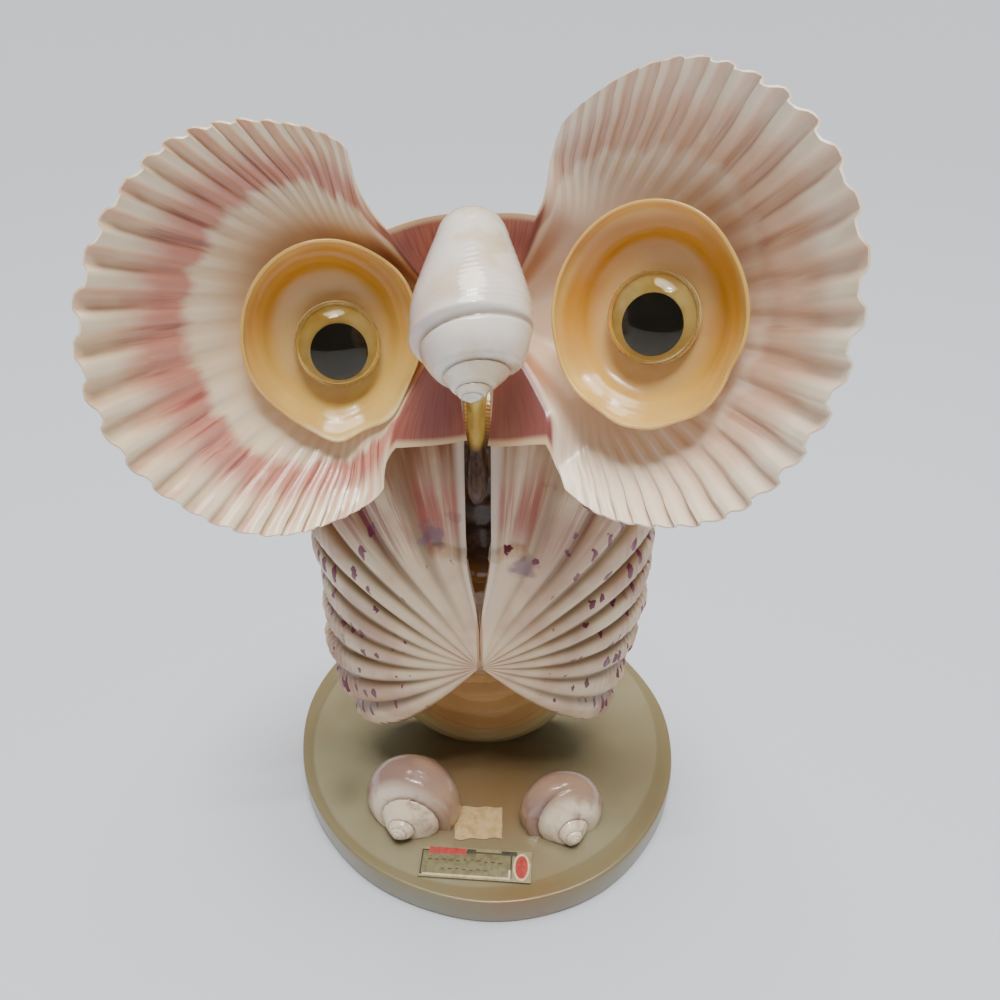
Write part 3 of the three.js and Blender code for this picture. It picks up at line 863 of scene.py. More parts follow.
# %% Card, dusty black and yellowed plastic
card = mottled("eye_card", 240, 3, (0.4, 0.7), ("e6d4a0", "d0b87e"), Roughness=0.6)
pupil_black = mottled(
    "pupil_black", 900, 4, (0.52, 0.78), ("0a0908", "1c1915"), Roughness=0.7,
    Specular_IOR_Level=0.15,
)
dome_clear = mottled(
    "dome_clear", 120, 2, (0.35, 0.7), ("f7efd2", "f0e2b6"), Roughness=0.04, IOR=1.36,
    Transmission_Weight=1.0, Specular_IOR_Level=0.15,
)
for side in HEADS:
    backing = thin_disc(f"eye_card_{side}", side, "backing", 0.15)
    pupil = thin_disc(f"loose_pupil_{side}", side, "pupil", 0.2)
    dome = clear_dome(side)
    card.give(backing)
    pupil_black.give(pupil)
    dome_clear.give(dome)
    hand_over(backing, "eye_card", f"eye_backing_{side}", angle=30)
    hand_over(pupil, "pupil_plastic", f"eye_pupil_{side}", angle=30)
    hand_over(dome, "eye_plastic", f"eye_dome_{side}")

# %% [markdown]
# ## Snail shells
#
# The beak and the feet are small sea snails with the spire forward. A snail shell is one tube
# wound round an axis, so its outline is crossed by one spiral line, the suture. The formula
# turns an outline round the axis and presses it in along that spiral.

# %% One spiral form for beak and feet
def snail_form(spec):
    """The outline and the fade are in the snail's own length, from the tip of its spire.

    first_suture is where the suture first crosses the outline, and each turn of the spiral
    carries it growth times as far from the tip.
    """
    outline = curve_through(spec["outline"])
    length = spec["outline"][-1][0]
    axis = -Vector(spec["heading"]).normalized()
    across = Vector((0, 0, 1)).cross(axis).normalized()
    up = axis.cross(across)
    size = spec["size"]
    start, growth = spec["first_suture"], spec["growth"]

    def form(u, v):
        share = 0.5 - 0.5 * np.cos(np.pi * v ** 1.15)
        along = length * share
        angle = 2 * np.pi * u
        whorl = np.log(np.maximum(along, 0.05) / start) / math.log(growth) - u + spec["turn"]
        q = whorl % 1
        last_whorl = smooth_step(along, *spec["fade"])
        shoulder = smooth_step(q, 0, 0.16) * (1 - 0.62 * q ** 1.5) - 0.38 * smooth_step(q, 0.9, 1)
        step = spec["groove"] * (shoulder - 0.62) * (1 - last_whorl) * smooth_step(along, 0, 1.2)
        lines = 0.003 * np.sin(whorl * 2 * np.pi * 14 + 3 * ripple(u * 6, along, 2))
        radius = np.maximum(outline(along), 0) * (1 + step + lines)
        radius *= 1 + spec["uneven"] * ripple(np.cos(angle) * 2, along * 0.25, 7)
        worn = spec["worn"] * ripple(np.cos(angle) * 5 + along, np.sin(angle) * 5 - along, 11)
        radius += worn * (1 - last_whorl) * smooth_step(along, 0, 1.5)
        steps = np.stack([radius * np.cos(angle), radius * np.sin(angle), along], 1) * size
        points = np.array(spec["apex"]) + steps @ np.array([across, up, axis])
        return points, whorl, along / length

    return form


# %% Beak and feet
BEAK = dict(
    apex=(-1.5, -43.6, 131.9), heading=(0, -0.77, -0.64), size=1, first_suture=4.8, growth=2.19,
    groove=0.2, turn=0.25, fade=(9.5, 13), uneven=0.006, worn=0.05,
    outline=[(0, 0), (0.8, 1.5), (2.2, 2.9), (3.6, 4.3), (5.2, 6.1), (8, 8.3), (11.3, 9.6),
             (14.5, 9.9), (17.6, 9.5), (21, 8.6), (24.6, 7.5), (28, 6.4), (30.8, 5.5), (32.4, 4.3),
             (33.3, 2.5), (33.6, 0)],
)
FOOT_OUTLINE = [(0, 0), (0.5, 1.2), (1.4, 2.3), (2.8, 3.6), (4.4, 5.4), (6.2, 8), (8.4, 10.8),
                (11, 12.2), (14.5, 12), (18, 9.6), (21.5, 5.4), (23, 0)]
FOOT_BACK = 13
FEET = {
    "left": dict(centre=(-19.5, -29, 11.2), heading=(-0.27, -0.95, 0.12), size=1, turn=0.1),
    "right": dict(centre=(19.2, -31, 10.2), heading=(0.22, -0.95, 0.14), size=0.87, turn=0.6),
}


def foot_spec(foot):
    heading = Vector(foot["heading"]).normalized()
    reach = (FOOT_OUTLINE[-1][0] - FOOT_BACK) * foot["size"]
    return dict(
        apex=tuple(Vector(foot["centre"]) + heading * reach), heading=foot["heading"],
        size=foot["size"], first_suture=2.3, growth=2.3, groove=0.3, turn=foot["turn"],
        fade=(7, 10), uneven=0.03, worn=0.25, outline=FOOT_OUTLINE,
    )


beak = grid_piece("snail_beak", 128, 180, snail_form(BEAK))
feet = {
    side: grid_piece(f"snail_foot_{side}", 96, 120, snail_form(foot_spec(foot)))
    for side, foot in FEET.items()
}

# %% Flat feet
FOOT_FLOOR = 4.5


def flatten_below(piece, level):
    """Cuts a piece off at a level and closes the cut."""
    def cut():
        bpy.ops.mesh.bisect(
            plane_co=(0, 0, level * MM), plane_no=(0, 0, 1), clear_inner=True, use_fill=True)

    edit(piece, cut, outside)


for foot in feet.values():
    flatten_below(foot, FOOT_FLOOR)

# %% [markdown]
# The beak is polished white, with a lilac cast on one side and tan patches on the other. The
# feet are worn down to pearl on the spire and are brown-lilac behind. Both are darker along
# the suture of the spire, and the growth map knows where that is, because its first number
# counts the whorls.

# %% White snail shell
def suture_shade(shell, whorl, growth, spire_end):
    """How close a point is to the suture, on the spire only."""
    from_suture = shell.math("PINGPONG", whorl, 0.5)
    on_spire = shell.fade(growth, spire_end, spire_end * 0.8)
    return shell.times(shell.fade(from_suture, 0.08, 0.01), on_spire)


white_snail = Finish(
    "white_snail", Roughness=0.2, Coat_Weight=0.6, Coat_Roughness=0.06, Subsurface_Weight=0.15,
    Subsurface_Scale=0.002,
)
whorl, growth, _ = white_snail.growth()
to_right, _, _ = white_snail.sides()
haze = white_snail.cloudy(110)
suture = suture_shade(white_snail, whorl, growth, 0.5)
tinted = white_snail.times(
    white_snail.fade(to_right, -0.004, 0.009), white_snail.fade(haze, 0.5, 0.62))
white = white_snail.two_tone(haze, 0.4, 0.66, "f0eae2", "e0cfb4")
white = white_snail.lay(white, "cdb98c", tinted, 0.6)
white = white_snail.lay(white, "d3c4cc", white_snail.fade(to_right, -0.003, -0.011), 0.5)
white = white_snail.lay(white, "9c8872", suture, 0.6)
white_snail.set("Base Color", white)
white_snail.bump(white_snail.cloudy(420, 4), 0.1, 0.3)
white_snail.give(beak)
hand_over(beak, "snail_shell", "beak_shell")

# %% Worn snail shell
worn_snail = Finish(
    "worn_snail", Roughness=0.24, Coat_Weight=0.8, Coat_Roughness=0.05, Subsurface_Weight=0.12,
    Subsurface_Scale=0.002,
)
whorl, growth, _ = worn_snail.growth()
patches = worn_snail.cloudy(170, 4)
lilac = worn_snail.two_tone(worn_snail.cloudy(60, 2), 0.36, 0.62, "bc9c7e", "a8887c")
pearl = worn_snail.two_tone(patches, 0.48, 0.74, "f2e0c6", "96765a")
worn = worn_snail.blend(worn_snail.fade(growth, 0.36, 0.24), lilac, pearl)
worn = worn_snail.lay(worn, "7c625c", suture_shade(worn_snail, whorl, growth, 0.42), 0.75)
worn_snail.set("Base Color", worn)
worn_snail.bump(patches, 0.6, 0.7)
worn_snail.give(*feet.values())
for side, foot in feet.items():
    hand_over(foot, "snail_shell", f"foot_shell_{side}")

# %% [markdown]
# ## Wings
#
# The wings are a pair of ribbed clam valves, umbo down on the breast. The ribs fan out from
# there and curl back round the flank, and beside the slit each valve has a flat, finely lined
# panel. The growth formula again carries the grid, and the ribs, the lines of the panel and
# the frills at the margin are laid on along the surface's own normal.

# %% Ribbed valves
WINGS = {
    "left": dict(
        out=-1, umbo=(-2.1, -27, 58), tip=142, seed=21, age_and_shade=0.9,
        reach=[(0, 69), (25, 64), (50, 46.5), (75, 38.5), (95, 37.5), (115, 40), (135, 43), (142, 42.5)],
    ),
    "right": dict(
        out=1, umbo=(-0.7, -27, 58), tip=139, seed=34, age_and_shade=0.55,
        reach=[(0, 69), (25, 64), (50, 47), (75, 39.5), (95, 37.5), (115, 38), (132, 42), (139, 41)],
    ),
}
WING_WALL = 2.6
WING_RIBS, RIB_HEIGHT = 9, 1.15
SLIT_BACK, FLANK_BACK = 17, 8
TURN_IN = math.radians(96)
PANEL = math.radians(15)
PANEL_RECESS, PANEL_FOOT = 1.8, 30
# The slit between the valves: half its width above, and how far they close below.
SLIT_HALF, SLIT_GAP = 2.5, -0.6
BEADS, FRILL_HEIGHT, LINE_HEIGHT, DENT = 24, 0.6, 0.1, 0.35
TORN, TORN_RADIUS = 1.5, 40


def wing_surface(wing):
    """The smooth valve, as two functions of fan and growth: its points and its normals."""
    reach = curve_through(wing["reach"])
    last = math.radians(wing["tip"])
    step = 0.02

    def smooth(fan, growth):
        turn = growth * TURN_IN
        radius = reach(np.degrees(fan)) * np.sin(np.minimum(turn, np.pi / 2))
        back = (SLIT_BACK + FLANK_BACK * np.sin(np.pi * fan / last)) * (1 - np.cos(turn))
        return np.stack([radius * np.sin(fan), back, radius * np.cos(fan)], 1)

    def normal(fan, growth):
        g = np.clip(growth, 3 * step, 1 - step)
        f = np.clip(fan, step, last - step)
        along_fan = smooth(f + step, g) - smooth(f - step, g)
        along_rib = smooth(f, g + step) - smooth(f, g - step)
        n = np.cross(along_fan, along_rib)
        return n / np.linalg.norm(n, axis=1)[:, None]

    return smooth, normal


# %% Ribs, panel and torn margin
def wing_form(wing):
    smooth, normal = wing_surface(wing)
    last = math.radians(wing["tip"])
    seed = wing["seed"]

    def rib_height(phase, rib, growth, wave):
        """Ribs with beads along their crests, and frills low on the flank."""
        uneven = 1 + 0.4 * ripple(rib * 1.2, rib * 0, seed + 3)
        pause = growth * BEADS + 1.3 * ripple(rib, growth * 2, seed + 1)
        beads = np.abs(pause % 1 - 0.5) * 2
        low = smooth_step(phase, 0.55, 0.85)
        scale = (0.7 + 0.9 * low) * (beads - 0.4) * np.clip(wave, 0, 1)
        scale *= smooth_step(growth, 0.45, 0.85)
        frill = FRILL_HEIGHT * ripple(rib * 14, growth * 140, seed + 6, 9)
        frill *= low * smooth_step(growth, 0.5, 0.85)
        on_ribs = smooth_step(phase, 0, 0.03)
        return on_ribs * (RIB_HEIGHT * uneven * growth ** 0.7 * wave + scale) + frill

    def panel_height(fan, growth, above):
        """The panel lies lower than the ribs, finely lined, down to a ledge at its foot."""
        ledge = above + 1.5 * ripple(fan * 30, growth * 3, seed + 4)
        at_foot = smooth_step(ledge, PANEL_FOOT - 0.8, PANEL_FOOT + 0.8)
        on_panel = (1 - smooth_step(fan, PANEL * 0.8, PANEL)) * at_foot
        lines = LINE_HEIGHT * (np.sin(fan * 190) + ripple(fan * 120, growth * 4, 9))
        return (lines - PANEL_RECESS) * on_panel

    def form(u, growth):
        fan = u * last
        phase = (fan - PANEL) / (last - PANEL)
        rib = phase * WING_RIBS
        sway = 0.12 * ripple(rib * 0.8, growth * 5, seed)
        from_crest = np.abs((rib + sway * growth) % 1 - 0.5) * 2
        wave = 1 - 2 * from_crest ** (1.4 + 2 * growth)
        point = smooth(fan, growth)
        height = rib_height(phase, rib, growth, wave) + panel_height(fan, growth, point[:, 2])
        height += DENT * ripple(rib * 1.3, growth * 9, seed + 2) * growth
        point = point + normal(fan, growth) * height[:, None]
        torn = TORN * ripple(rib * 5, rib * 2, seed + 5, 7) + 1.1 * wave * smooth_step(phase, 0, 0.03)
        point[:, :2] *= (1 + torn / TORN_RADIUS * smooth_step(growth, 0.7, 1))[:, None]
        slit = SLIT_HALF * smooth_step(point[:, 2], 9, 32) + SLIT_GAP
        x = wing["out"] * (np.maximum(point[:, 0], 0) + slit)
        points = np.stack([x, point[:, 1], point[:, 2]], 1) + np.array(wing["umbo"])
        return points, rib, growth

    return form


wings = {}
for side, wing in WINGS.items():
    wings[side] = grid_piece(f"ribbed_clam_{side}", 230, 110, wing_form(wing), (0, -1, 0))

# %% [markdown]
# The clams are cream to pink, with short purple-brown dashes that sit in arcs, one for each
# time that the shell paused in its growth. A cell pattern on rib number and growth gives one
# possible dash to each rib and arc, and a random share of them is left out. The left valve has
# aged browner, and both carry painted shade in their furrows, high on the flank and under the
# ears, the left one more. Both panels are stained red towards their foot. Those stains are
# windows in height, broken up by streaks along the ribs.

# %% Dashes in arcs
def growth_dashes(clam, rib_map, growth, high, warp, seed):
    """One inside a dash. Each cell of the pattern keeps or loses its dash by its colour."""
    def moved(vector, by):
        return clam.add("VectorMath", {0: vector, 1: by}, operation="ADD")

    arcs = moved(clam.stretch(rib_map, (1.25, 15, 1)), (seed, seed, 0))
    values = {"Vector": moved(arcs, clam.stretch(warp, (0.6, 0.6, 0))), "Scale": 1, "Randomness": 0.6}
    cells = clam.add("TexVoronoi", values, voronoi_dimensions="2D")
    pick, width, _ = clam.add("SeparateColor", {0: cells.node.outputs["Color"]}).node.outputs
    wide = clam.math("MULTIPLY_ADD", width, 0.15, 0.15)
    inside = clam.math("SUBTRACT", clam.times(wide, clam.fade(growth, 0.0, 0.6)), cells)
    return clam.times(
        clam.fade(inside, -0.02, 0.03), clam.fade(pick, 0.4, 0.44), clam.fade(growth, 0.24, 0.28),
        clam.fade(high, 0.104, 0.098))


# %% Spotted clam
# The middle of the large purple blotch beside each panel's foot, and of the seam, in mm.
BLOTCH = {"left": (-10.8, -23.5, 91.7), "right": (7.9, -25.4, 84.9)}
SEAM_X = -1.4


def panel_stains(clam, colour, rib, high, streaks, age_and_shade):
    """The panel is paler than the ribs, red near its foot, and brown above, with age and painted shadow
    under the ears.
    """
    panel = clam.fade(rib, 0.15, -0.1)
    patchy = clam.fade(streaks, 0.36, 0.58)
    colour = clam.lay(colour, "fbe3bf", panel, 1 - age_and_shade)
    colour = clam.lay(colour, "ac4a38", panel, clam.window(high, 0.09, 0.104, 0.006), patchy, 0.85)
    # Painted shadow of the ears, with age: the top of the panel is browned.
    colour = clam.lay(colour, "84481f", panel, clam.fade(high, 0.098, 0.112), patchy, age_and_shade)
    return clam.lay(colour, "efdcc4", clam.fade(rib, -0.84, -0.98), 0.8)


def clam_outside(side, seed, age_and_shade):
    clam = Finish(
        f"clam_outside_{side}", Roughness=0.34, Coat_Weight=0.25, Coat_Roughness=0.1,
        Subsurface_Weight=0.08, Subsurface_Scale=0.001,
    )
    rib, growth, chart = clam.growth()
    to_right, _, high = clam.sides()
    warp = clam.cloudy(420, 2)
    tone = clam.cloudy(60)
    streaks = clam.streaky(chart, 5, 1.3, 4, 0.65)
    colour = clam.two_tone(tone, 0.35, 0.65, "e8cfaa", "cfa688")

    # Painted shade, with the shell's own olive-brown: the furrows between the ribs are darkened.
    furrow = clam.fade(clam.math("PINGPONG", rib, 0.5), 0.32, 0.03)
    colour = clam.lay(colour, "80623a", furrow, clam.fade(growth, 0.02, 0.35), 0.5 + 0.5 * age_and_shade)
    tanned = clam.times(clam.fade(tone, 0.42, 0.6), clam.fade(growth, 0.25, 0.6))
    colour = clam.lay(colour, "a87850", tanned, 0.4 * age_and_shade)
    # Painted shade under the head, with age: the valve is browned high on the flank.
    high_shade_and_age = clam.times(clam.fade(high, 0.066, 0.098), clam.fade(growth, 0.35, 0.7))
    colour = clam.lay(colour, "8a5c30", high_shade_and_age, clam.fade(tone, 0.3, 0.5), age_and_shade)
    blush = clam.times(clam.window(high, 0.088, 0.104, 0.006), clam.fade(streaks, 0.46, 0.6))
    colour = clam.lay(colour, "7c2c34", blush, clam.window(rib, -0.1, 1.6, 0.5), age_and_shade)
    colour = panel_stains(clam, colour, rib, high, streaks, age_and_shade)

    off_seam = clam.math("ABSOLUTE", clam.math("SUBTRACT", to_right, SEAM_X * MM))
    seam = clam.times(clam.fade(off_seam, 0.0009, 0.0004), clam.fade(high, 0.08, 0.07))
    colour = clam.lay(colour, "b37a3a", seam, 0.85)
    ragged = clam.math("MULTIPLY_ADD", warp, 0.006, clam.away(clam.place(), BLOTCH[side]))
    colour = clam.lay(colour, "66465e", clam.fade(ragged, 0.0066, 0.0042), 0.7)
    dashes = growth_dashes(clam, chart, growth, high, warp, seed)
    clam.set("Base Color", clam.lay(colour, "701c38", dashes))
    clam.bump(streaks, 0.2, 0.5)
    return clam


clam_inner = mottled(
    "clam_inside", 80, 3, (0.35, 0.65), ("eee6dc", "d9c2b4"), Roughness=0.3, Coat_Weight=0.3,
    Coat_Roughness=0.1,
)
clam_inner.bump(clam_inner.cloudy(80), 0.3, 0.3)
for side, wing in wings.items():
    clam_outside(side, WINGS[side]["seed"], WINGS[side]["age_and_shade"]).give(wing)
    clam_inner.give(wing)
    give_wall(wing, WING_WALL, back_material=1)
    hand_over(wing, "clam_shell", f"wing_shell_{side}")

# %% [markdown]
# ## Body shell
#
# Behind the wings stands one amber-brown valve, its lower margin cast in the resin. It shows
# below the breast with bands that bow downward, so its growth runs down from an umbo near
# the top. The dish is a formula again, with a low step at each band.

# %% The banded dish
BODY_CENTRE = Vector((-1.4, 6, 57))
BODY_HALF_WIDTH, BODY_HALF_HEIGHT = 33.5, 53.5
BODY_DEPTH, BODY_WALL, BODY_RIM = 15, 2.2, 0.5
BODY_LEAN = math.radians(-4)
BODY_UMBO = -0.8
BODY_BANDS, BAND_STEP = 15, 0.35


def body_form(u, v):
    """Growth is the distance from the umbo as a share of the way to the rim."""
    angle = 2 * np.pi * u
    t = v * np.pi / 2
    x, y = np.sin(t) * np.cos(angle), np.sin(t) * np.sin(angle)
    dx, dy = x, y - BODY_UMBO
    a = np.maximum(dx * dx + dy * dy, 1e-9)
    b = BODY_UMBO * dy
    c = BODY_UMBO ** 2 - 1
    growth = a / (-b + np.sqrt(b * b - a * c))
    band = (growth * BODY_BANDS + 0.5 * ripple(x * 3, y * 3, 12)) % 1
    step = BAND_STEP * (band ** 2 - 0.33) * (1 - v ** 8)
    z = -BODY_DEPTH * np.maximum(np.cos(t), 0) ** BODY_RIM - step
    turn = Matrix.Rotation(-math.pi / 2 + BODY_LEAN, 4, "X")
    points = np.stack([x * BODY_HALF_WIDTH, y * BODY_HALF_HEIGHT, z], 1)
    return carried(points, Matrix.Translation(BODY_CENTRE) @ turn), u, growth


body = grid_piece("banded_body_valve", 120, 100, body_form, (0, -1, 0))

# %% [markdown]
# The bands run from brown to tan within each step of growth, and the noise that is added to
# the growth makes them waver. The shell is paler towards its rim, and painted light makes it
# paler towards its foot, which stands in shade. Where it shows through the slit it is dark with
# dirt and painted shade.

# %% Amber-brown shell
# Dark browns of dirt and painted shade, for the slit and the lower glue.
DIRT_AND_SHADE = ("5c3e28", "38241a")

body_finish = Finish(
    "body_amber", Roughness=0.26, Coat_Weight=0.5, Coat_Roughness=0.08, Subsurface_Weight=0.25,
    Subsurface_Scale=0.003,
)
_, body_growth, _ = body_finish.growth()
to_right, _, high = body_finish.sides()
waver = body_finish.cloudy(90)
body_wave = body_finish.math("MULTIPLY_ADD", body_growth, BODY_BANDS, 0.2)
bands = body_finish.math("FRACT", body_finish.math("ADD", body_wave, waver))
brown = body_finish.two_tone(bands, 0.2, 0.9, "a8773a", "c4955a")
brown = body_finish.lay(brown, "8a5a30", body_finish.fade(waver, 0.5, 0.7), 0.6)
# Painted light: the foot, in shade between the resin and the wings, is lightened.
brown = body_finish.lay(brown, "dcae72", body_finish.fade(high, 0.045, 0.022), 0.5)
brown = body_finish.lay(brown, "d2c68e", body_finish.fade(body_growth, 0.86, 0.95))
# Dirt and painted shade: the body is dark brown where it shows through the slit.
slit_dirt_and_shade = body_finish.times(
    body_finish.window(to_right, -0.0065, 0.0035, 0.001),
    body_finish.window(high, 0.072, 0.103, 0.003), 0.95)
body_dirt_and_shade = body_finish.two_tone(body_finish.cloudy(300, 4), 0.38, 0.6, *DIRT_AND_SHADE)
body_finish.set("Base Color", body_finish.blend(slit_dirt_and_shade, brown, body_dirt_and_shade))
body_finish.bump(bands, 0.25, 0.5)
body_back = mottled(
    "body_pearl", 70, 3, (0.35, 0.7), ("e2d3a0", "cfae72"), Roughness=0.22, Coat_Weight=0.5,
    Coat_Roughness=0.08, Subsurface_Weight=0.2, Subsurface_Scale=0.003,
)
body_finish.give(body)
body_back.give(body)
give_wall(body, BODY_WALL, back_material=1)
hand_over(body, "amber_shell", "body_shell")

# %% [markdown]
# ## Glue
#
# Hot glue and old cement fill the slit between the hinges. It pooled where it was pressed, so
# a smooth spindle with slow swellings is close to the real run of glue. It is yellow below the
# beak and dark further down, with dirt and painted shade deep in the slit, so its colour
# changes at one height.

# %% Glue web
GLUE_X, GLUE_HALF = -1.6, 2.7
GLUE_BACK, GLUE_FRONT = -6, -24
GLUE_BOTTOM, GLUE_TOP = 98, 140
GLUE_LEAN = math.radians(10)
GLUE_POOLS, GLUE_THINNING, GLUE_LUMPS = 1.5, 0.4, 0.06


def glue_form(u, v):
    angle = 2 * np.pi * u
    tall, deep = GLUE_TOP - GLUE_BOTTOM, (GLUE_BACK - GLUE_FRONT) / 2
    thin = GLUE_THINNING * (0.5 - 0.5 * np.cos(2 * np.pi * GLUE_POOLS * v))
    closed = np.sqrt(np.clip(1 - (2 * v - 1) ** 6, 0, 1))
    swell = (1 - thin) * closed * (1 + GLUE_LUMPS * ripple(np.cos(angle) * 3, v * 16, 41))
    middle = (GLUE_BACK + GLUE_FRONT) / 2 + tall * (v - 0.5) * math.tan(GLUE_LEAN)
    x = GLUE_X + GLUE_HALF * swell * np.cos(angle)
    y = middle + deep * swell * np.sin(angle)
    return np.stack([x, y, GLUE_BOTTOM + tall * v], 1), u, v


glue = grid_piece("glue_web", 48, 80, glue_form)

# %% Old glue
# Heights in metres.
GLUE_YELLOW_ABOVE, GLUE_DARK_BELOW = 0.1125, 0.11

old_glue = Finish(
    "old_glue", Roughness=0.4, IOR=1.45, Coat_Weight=0.1, Coat_Roughness=0.15,
    Subsurface_Weight=0.3, Subsurface_Scale=0.002,
)
_, _, glue_height = old_glue.sides()
glue_noise = old_glue.cloudy(200)
yellow = old_glue.two_tone(glue_noise, 0.35, 0.65, "e6cc62", "c49a34")
# Dirt and painted shade: the glue is dark brown deep in the slit.
glue_dirt_and_shade = old_glue.two_tone(old_glue.cloudy(600, 4), 0.4, 0.6, *DIRT_AND_SHADE)
dirt_and_shade_below = old_glue.fade(glue_height, GLUE_YELLOW_ABOVE, GLUE_DARK_BELOW)
old_glue.set("Base Color", old_glue.blend(dirt_and_shade_below, yellow, glue_dirt_and_shade))
old_glue.bump(glue_noise, 0.3, 0.5)
old_glue.give(glue)
hand_over(glue, "glue", "hinge_glue")

# %% [markdown]
# ## Souvenir label
#
# A small printed label lies in front of the feet. Its shape and colours are kept, and its
# words are rows of plain strokes. A flat box with rounded edges is the paper, and every
# printed part is a thin shape on it, so that the print is part of the shape and not only paint.

# %% Paper and inks
LABEL_LENGTH, LABEL_WIDTH, LABEL_THICK = 27, 8, 0.4
LABEL_CENTRE = Vector((-2.9, -42.9))
LABEL_TURN = math.radians(-4)
INK, INK_CORNER = 0.06, 0.02
TOP = LABEL_THICK + INK
OVAL_X, OVAL_Y = 11.1, -0.3


def label_box(length, width, x, y, level=TOP, height=INK, corner=INK_CORNER):
    """A flat box in mm, about the middle of the label."""
    deselect()
    bpy.ops.mesh.primitive_cube_add(size=1)
    box = bpy.context.object
    box.data.transform(Matrix.Diagonal((length * MM, width * MM, height * MM, 1)))
    apply_modifier(box, "BEVEL", width=corner * MM, segments=4, limit_method="ANGLE")
    box.data.transform(Matrix.Translation(Vector((x, y, level + height / 2)) * MM))
    return box


def label_oval(wide, tall, level):
    deselect()
    bpy.ops.mesh.primitive_cylinder_add(
        vertices=40, radius=1 * MM, depth=INK * MM,
        location=(OVAL_X * MM, OVAL_Y * MM, (level + INK / 2) * MM), scale=(wide, tall, 1))
    oval = bpy.context.object
    bpy.ops.object.transform_apply()
    return oval


def worn_print(name, *paints, roughness=0.5):
    return mottled(
        name, 700, 3, (0.35, 0.7), paints, Roughness=roughness, Coat_Weight=0.3,
        Coat_Roughness=0.1)


cream_ink = worn_print("label_cream", "e6d7ae", "cdb888")
olive_ink = worn_print("label_olive", "a09772", "8c8360")
field_ink = worn_print("label_field", "88815e", "706a4a")
red_ink = worn_print("label_red", "c4443c", "9c3430")
dark_ink = worn_print("label_strokes", "3a382a", "504d3c")

# %% Border, badges and strokes
STROKE_ROWS = ((0.5, 11), (-1.8, 7))
STROKE_MIDDLE, STROKE_PITCH, STROKE_WIDTH = -2.6, 1.7, 0.3

label_parts = [
    (olive_ink, label_box(LABEL_LENGTH, LABEL_WIDTH, 0, 0, 0, LABEL_THICK, 0.15)),
    (dark_ink, label_box(22, 6.4, -2.2, -0.2, LABEL_THICK)),
    (field_ink, label_box(21.2, 5.6, -2.2, -0.2, LABEL_THICK + INK / 2)),
    (cream_ink, label_box(20.6, 0.6, -2.2, -3.4)),
    (cream_ink, label_box(0.5, 2.4, 8.3, -2.4)),
    (red_ink, label_box(9, 1.7, -7, 2.8)),
    (dark_ink, label_box(2.2, 1.3, -1.2, 2.9)),
    (dark_ink, label_box(3.8, 1.1, 8, 3)),
    (cream_ink, label_oval(2.0, 3.5, TOP)),
    (red_ink, label_oval(1.5, 2.9, TOP + INK)),
]
stroke_dice = np.random.default_rng(6)
for row, count in STROKE_ROWS:
    for i in range(count):
        long, nudge = stroke_dice.uniform(0.6, 1.1), stroke_dice.uniform(-0.25, 0.25)
        x = STROKE_MIDDLE + (i - (count - 1) / 2) * STROKE_PITCH
        label_parts.append((dark_ink, label_box(long, STROKE_WIDTH, x, row + nudge)))
for ink, part in label_parts:
    ink.give(part)
paper = join([part for _, part in label_parts], "printed_label")
label_low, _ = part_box("souvenir_label")
spot = Matrix.Translation((LABEL_CENTRE.x * MM, LABEL_CENTRE.y * MM, label_low.z))
paper.data.transform(spot @ Matrix.Rotation(LABEL_TURN, 4, "Z"))
hand_over(paper, "label_paper", "souvenir_label", angle=30)

# %% [markdown]
# ## Bubbles and a scrap of paper
#
# Cast resin traps air, so a few bubbles show through it. Each is a small icosphere at a random
# place, and they are joined to one piece. A scrap of bare paper lies on top of the resin. It
# is a thin sheet with a torn edge.

# %% Trapped bubbles
BUBBLES = 34

bubble_air = Finish("bubble_air", Roughness=0.05, IOR=1.1, Transmission_Weight=0.9)
bubble_air.set("Base Color", paint("f2efe0"))
bubble_dice = np.random.default_rng(15)
bubbles = []
for _ in range(BUBBLES):
    far = BASE_RADIUS * 0.9 * math.sqrt(bubble_dice.uniform(0.1, 1))
    way = bubble_dice.uniform(0, 2 * math.pi)
    deselect()
    bpy.ops.mesh.primitive_ico_sphere_add(
        subdivisions=2, radius=bubble_dice.uniform(0.15, 0.45) * MM,
        location=(far * math.cos(way) * MM, far * math.sin(way) * MM, bubble_dice.uniform(3, 6.8) * MM))
    bubbles.append(bpy.context.object)
trapped_air = join(bubbles, "trapped_bubbles")
bpy.ops.object.transform_apply()
bubble_air.give(trapped_air)
hand_over(trapped_air, "resin")

# %% Paper scrap
SCRAP_CENTRE, SCRAP_SIZE, SCRAP_LEVEL = (-2.5, -31.5), (12, 9), 7.95
SCRAP_THICK = 0.15


def scrap_form(u, v):
    torn = 0.5 * ripple(v * 14, u * 14, 19)
    x = SCRAP_CENTRE[0] + SCRAP_SIZE[0] * (u - 0.5) + torn * (2 * u - 1)
    y = SCRAP_CENTRE[1] + SCRAP_SIZE[1] * (v - 0.5) + torn * (2 * v - 1)
    z = np.full_like(u, SCRAP_LEVEL) + 0.08 * ripple(u * 4, v * 4, 20)
    return np.stack([x, y, z], 1), u, v


scrap = grid_piece("paper_scrap", 26, 18, scrap_form, (0, 0, 1))
worn_print("bare_paper", "cdb182", "b8975e", roughness=0.7).give(scrap)
give_wall(scrap, SCRAP_THICK)
hand_over(scrap, "label_paper")

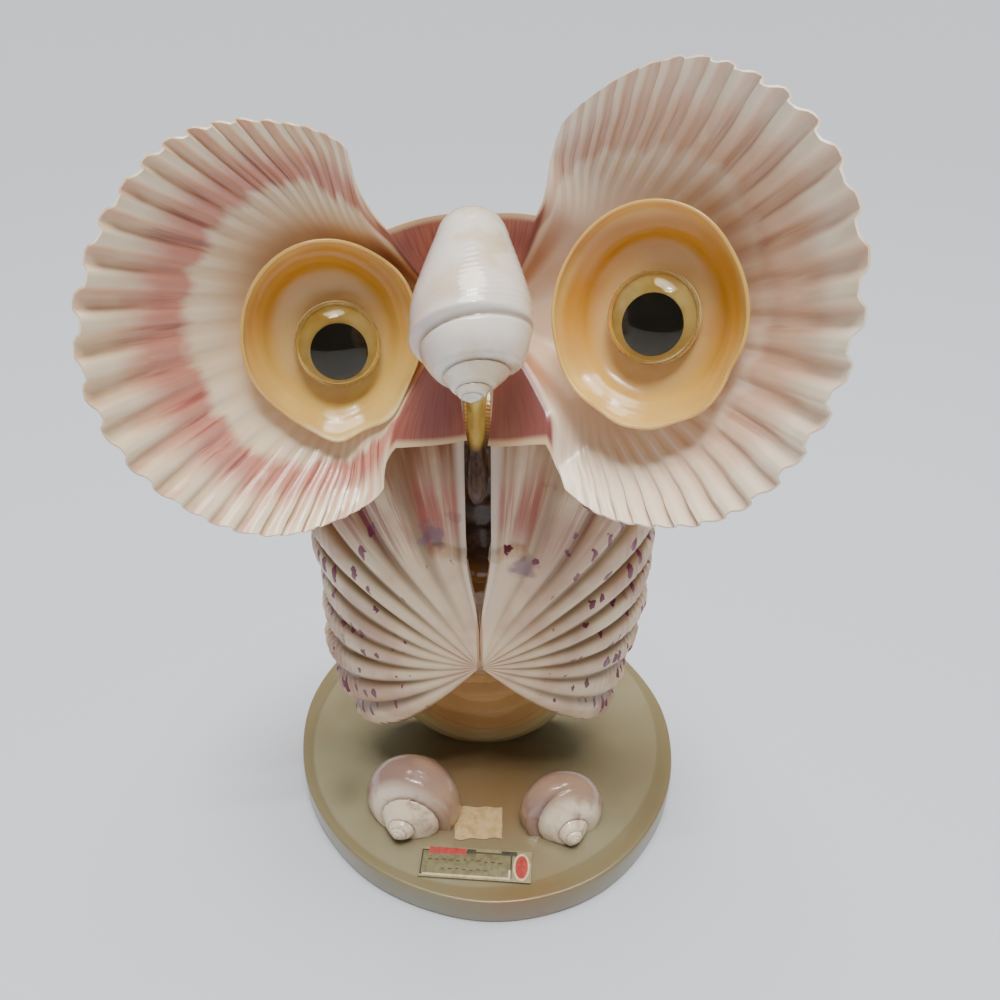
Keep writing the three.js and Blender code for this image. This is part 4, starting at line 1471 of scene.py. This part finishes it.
# %% [markdown]
# ## Floor and light
#
# The photograph has soft indoor light from above, and its lamps glint on the domes and the
# cups. A sun with a very wide angle is the soft ceiling light, and two small bright tubes
# overhead give the glints. The world adds a little grey light from all round, so that no
# hollow goes black. The floor is a plain pale sheet.

# %% Floor
FLOOR_WIDTH = 60

deselect()
bpy.ops.mesh.primitive_plane_add(size=FLOOR_WIDTH)
floor = bpy.context.object
floor.name = "floor"
floor_finish = Finish("pale_floor", Roughness=0.6)
floor_finish.set("Base Color", paint("d0d6e2"))
floor_finish.give(floor)
print("floor", [round(x, 1) for x in floor.dimensions])

# %% Ceiling, tubes and surroundings
OWL_MIDDLE = Vector((0, -0.02, 0.09))
TUBE_MIDDLE, TUBE_GAP = Vector((0.03, -0.22, 0.7)), 0.06
TUBE_LENGTH, TUBE_WIDTH, TUBE_POWER = 0.16, 0.014, 0.9
CEILING_WAY, CEILING_ANGLE, CEILING_POWER = Vector((-0.04, -0.02, -1)), math.radians(40), 4.4
WARM_WHITE = (1, 0.95, 0.88)
GREY_AROUND, AROUND_POWER = (0.9, 0.89, 0.88, 1), 0.2


def hang(light, place, way, power):
    """Puts a light at a place, shining along a direction."""
    light.energy = power
    lamp = bpy.data.objects.new(light.name, light)
    lamp.location = place
    lamp.rotation_euler = way.to_track_quat("-Z", "Y").to_euler()
    bpy.context.collection.objects.link(lamp)
    print(light.name, "light at", [round(x, 2) for x in place])


for k in range(2):
    tube = bpy.data.lights.new(f"ceiling_tube_{k}", "AREA")
    tube.shape = "RECTANGLE"
    tube.size, tube.size_y = TUBE_LENGTH, TUBE_WIDTH
    place = TUBE_MIDDLE + Vector((0, (k - 0.5) * TUBE_GAP, 0))
    hang(tube, place, OWL_MIDDLE - place, TUBE_POWER)

ceiling = bpy.data.lights.new("ceiling", "SUN")
ceiling.angle = CEILING_ANGLE
ceiling.color = WARM_WHITE
hang(ceiling, (0.3, 0.2, 1), CEILING_WAY, CEILING_POWER)

world = bpy.data.worlds.new("studio")
world.use_nodes = True
background = world.node_tree.nodes["Background"]
background.inputs["Color"].default_value = GREY_AROUND
background.inputs["Strength"].default_value = AROUND_POWER
bpy.context.scene.world = world
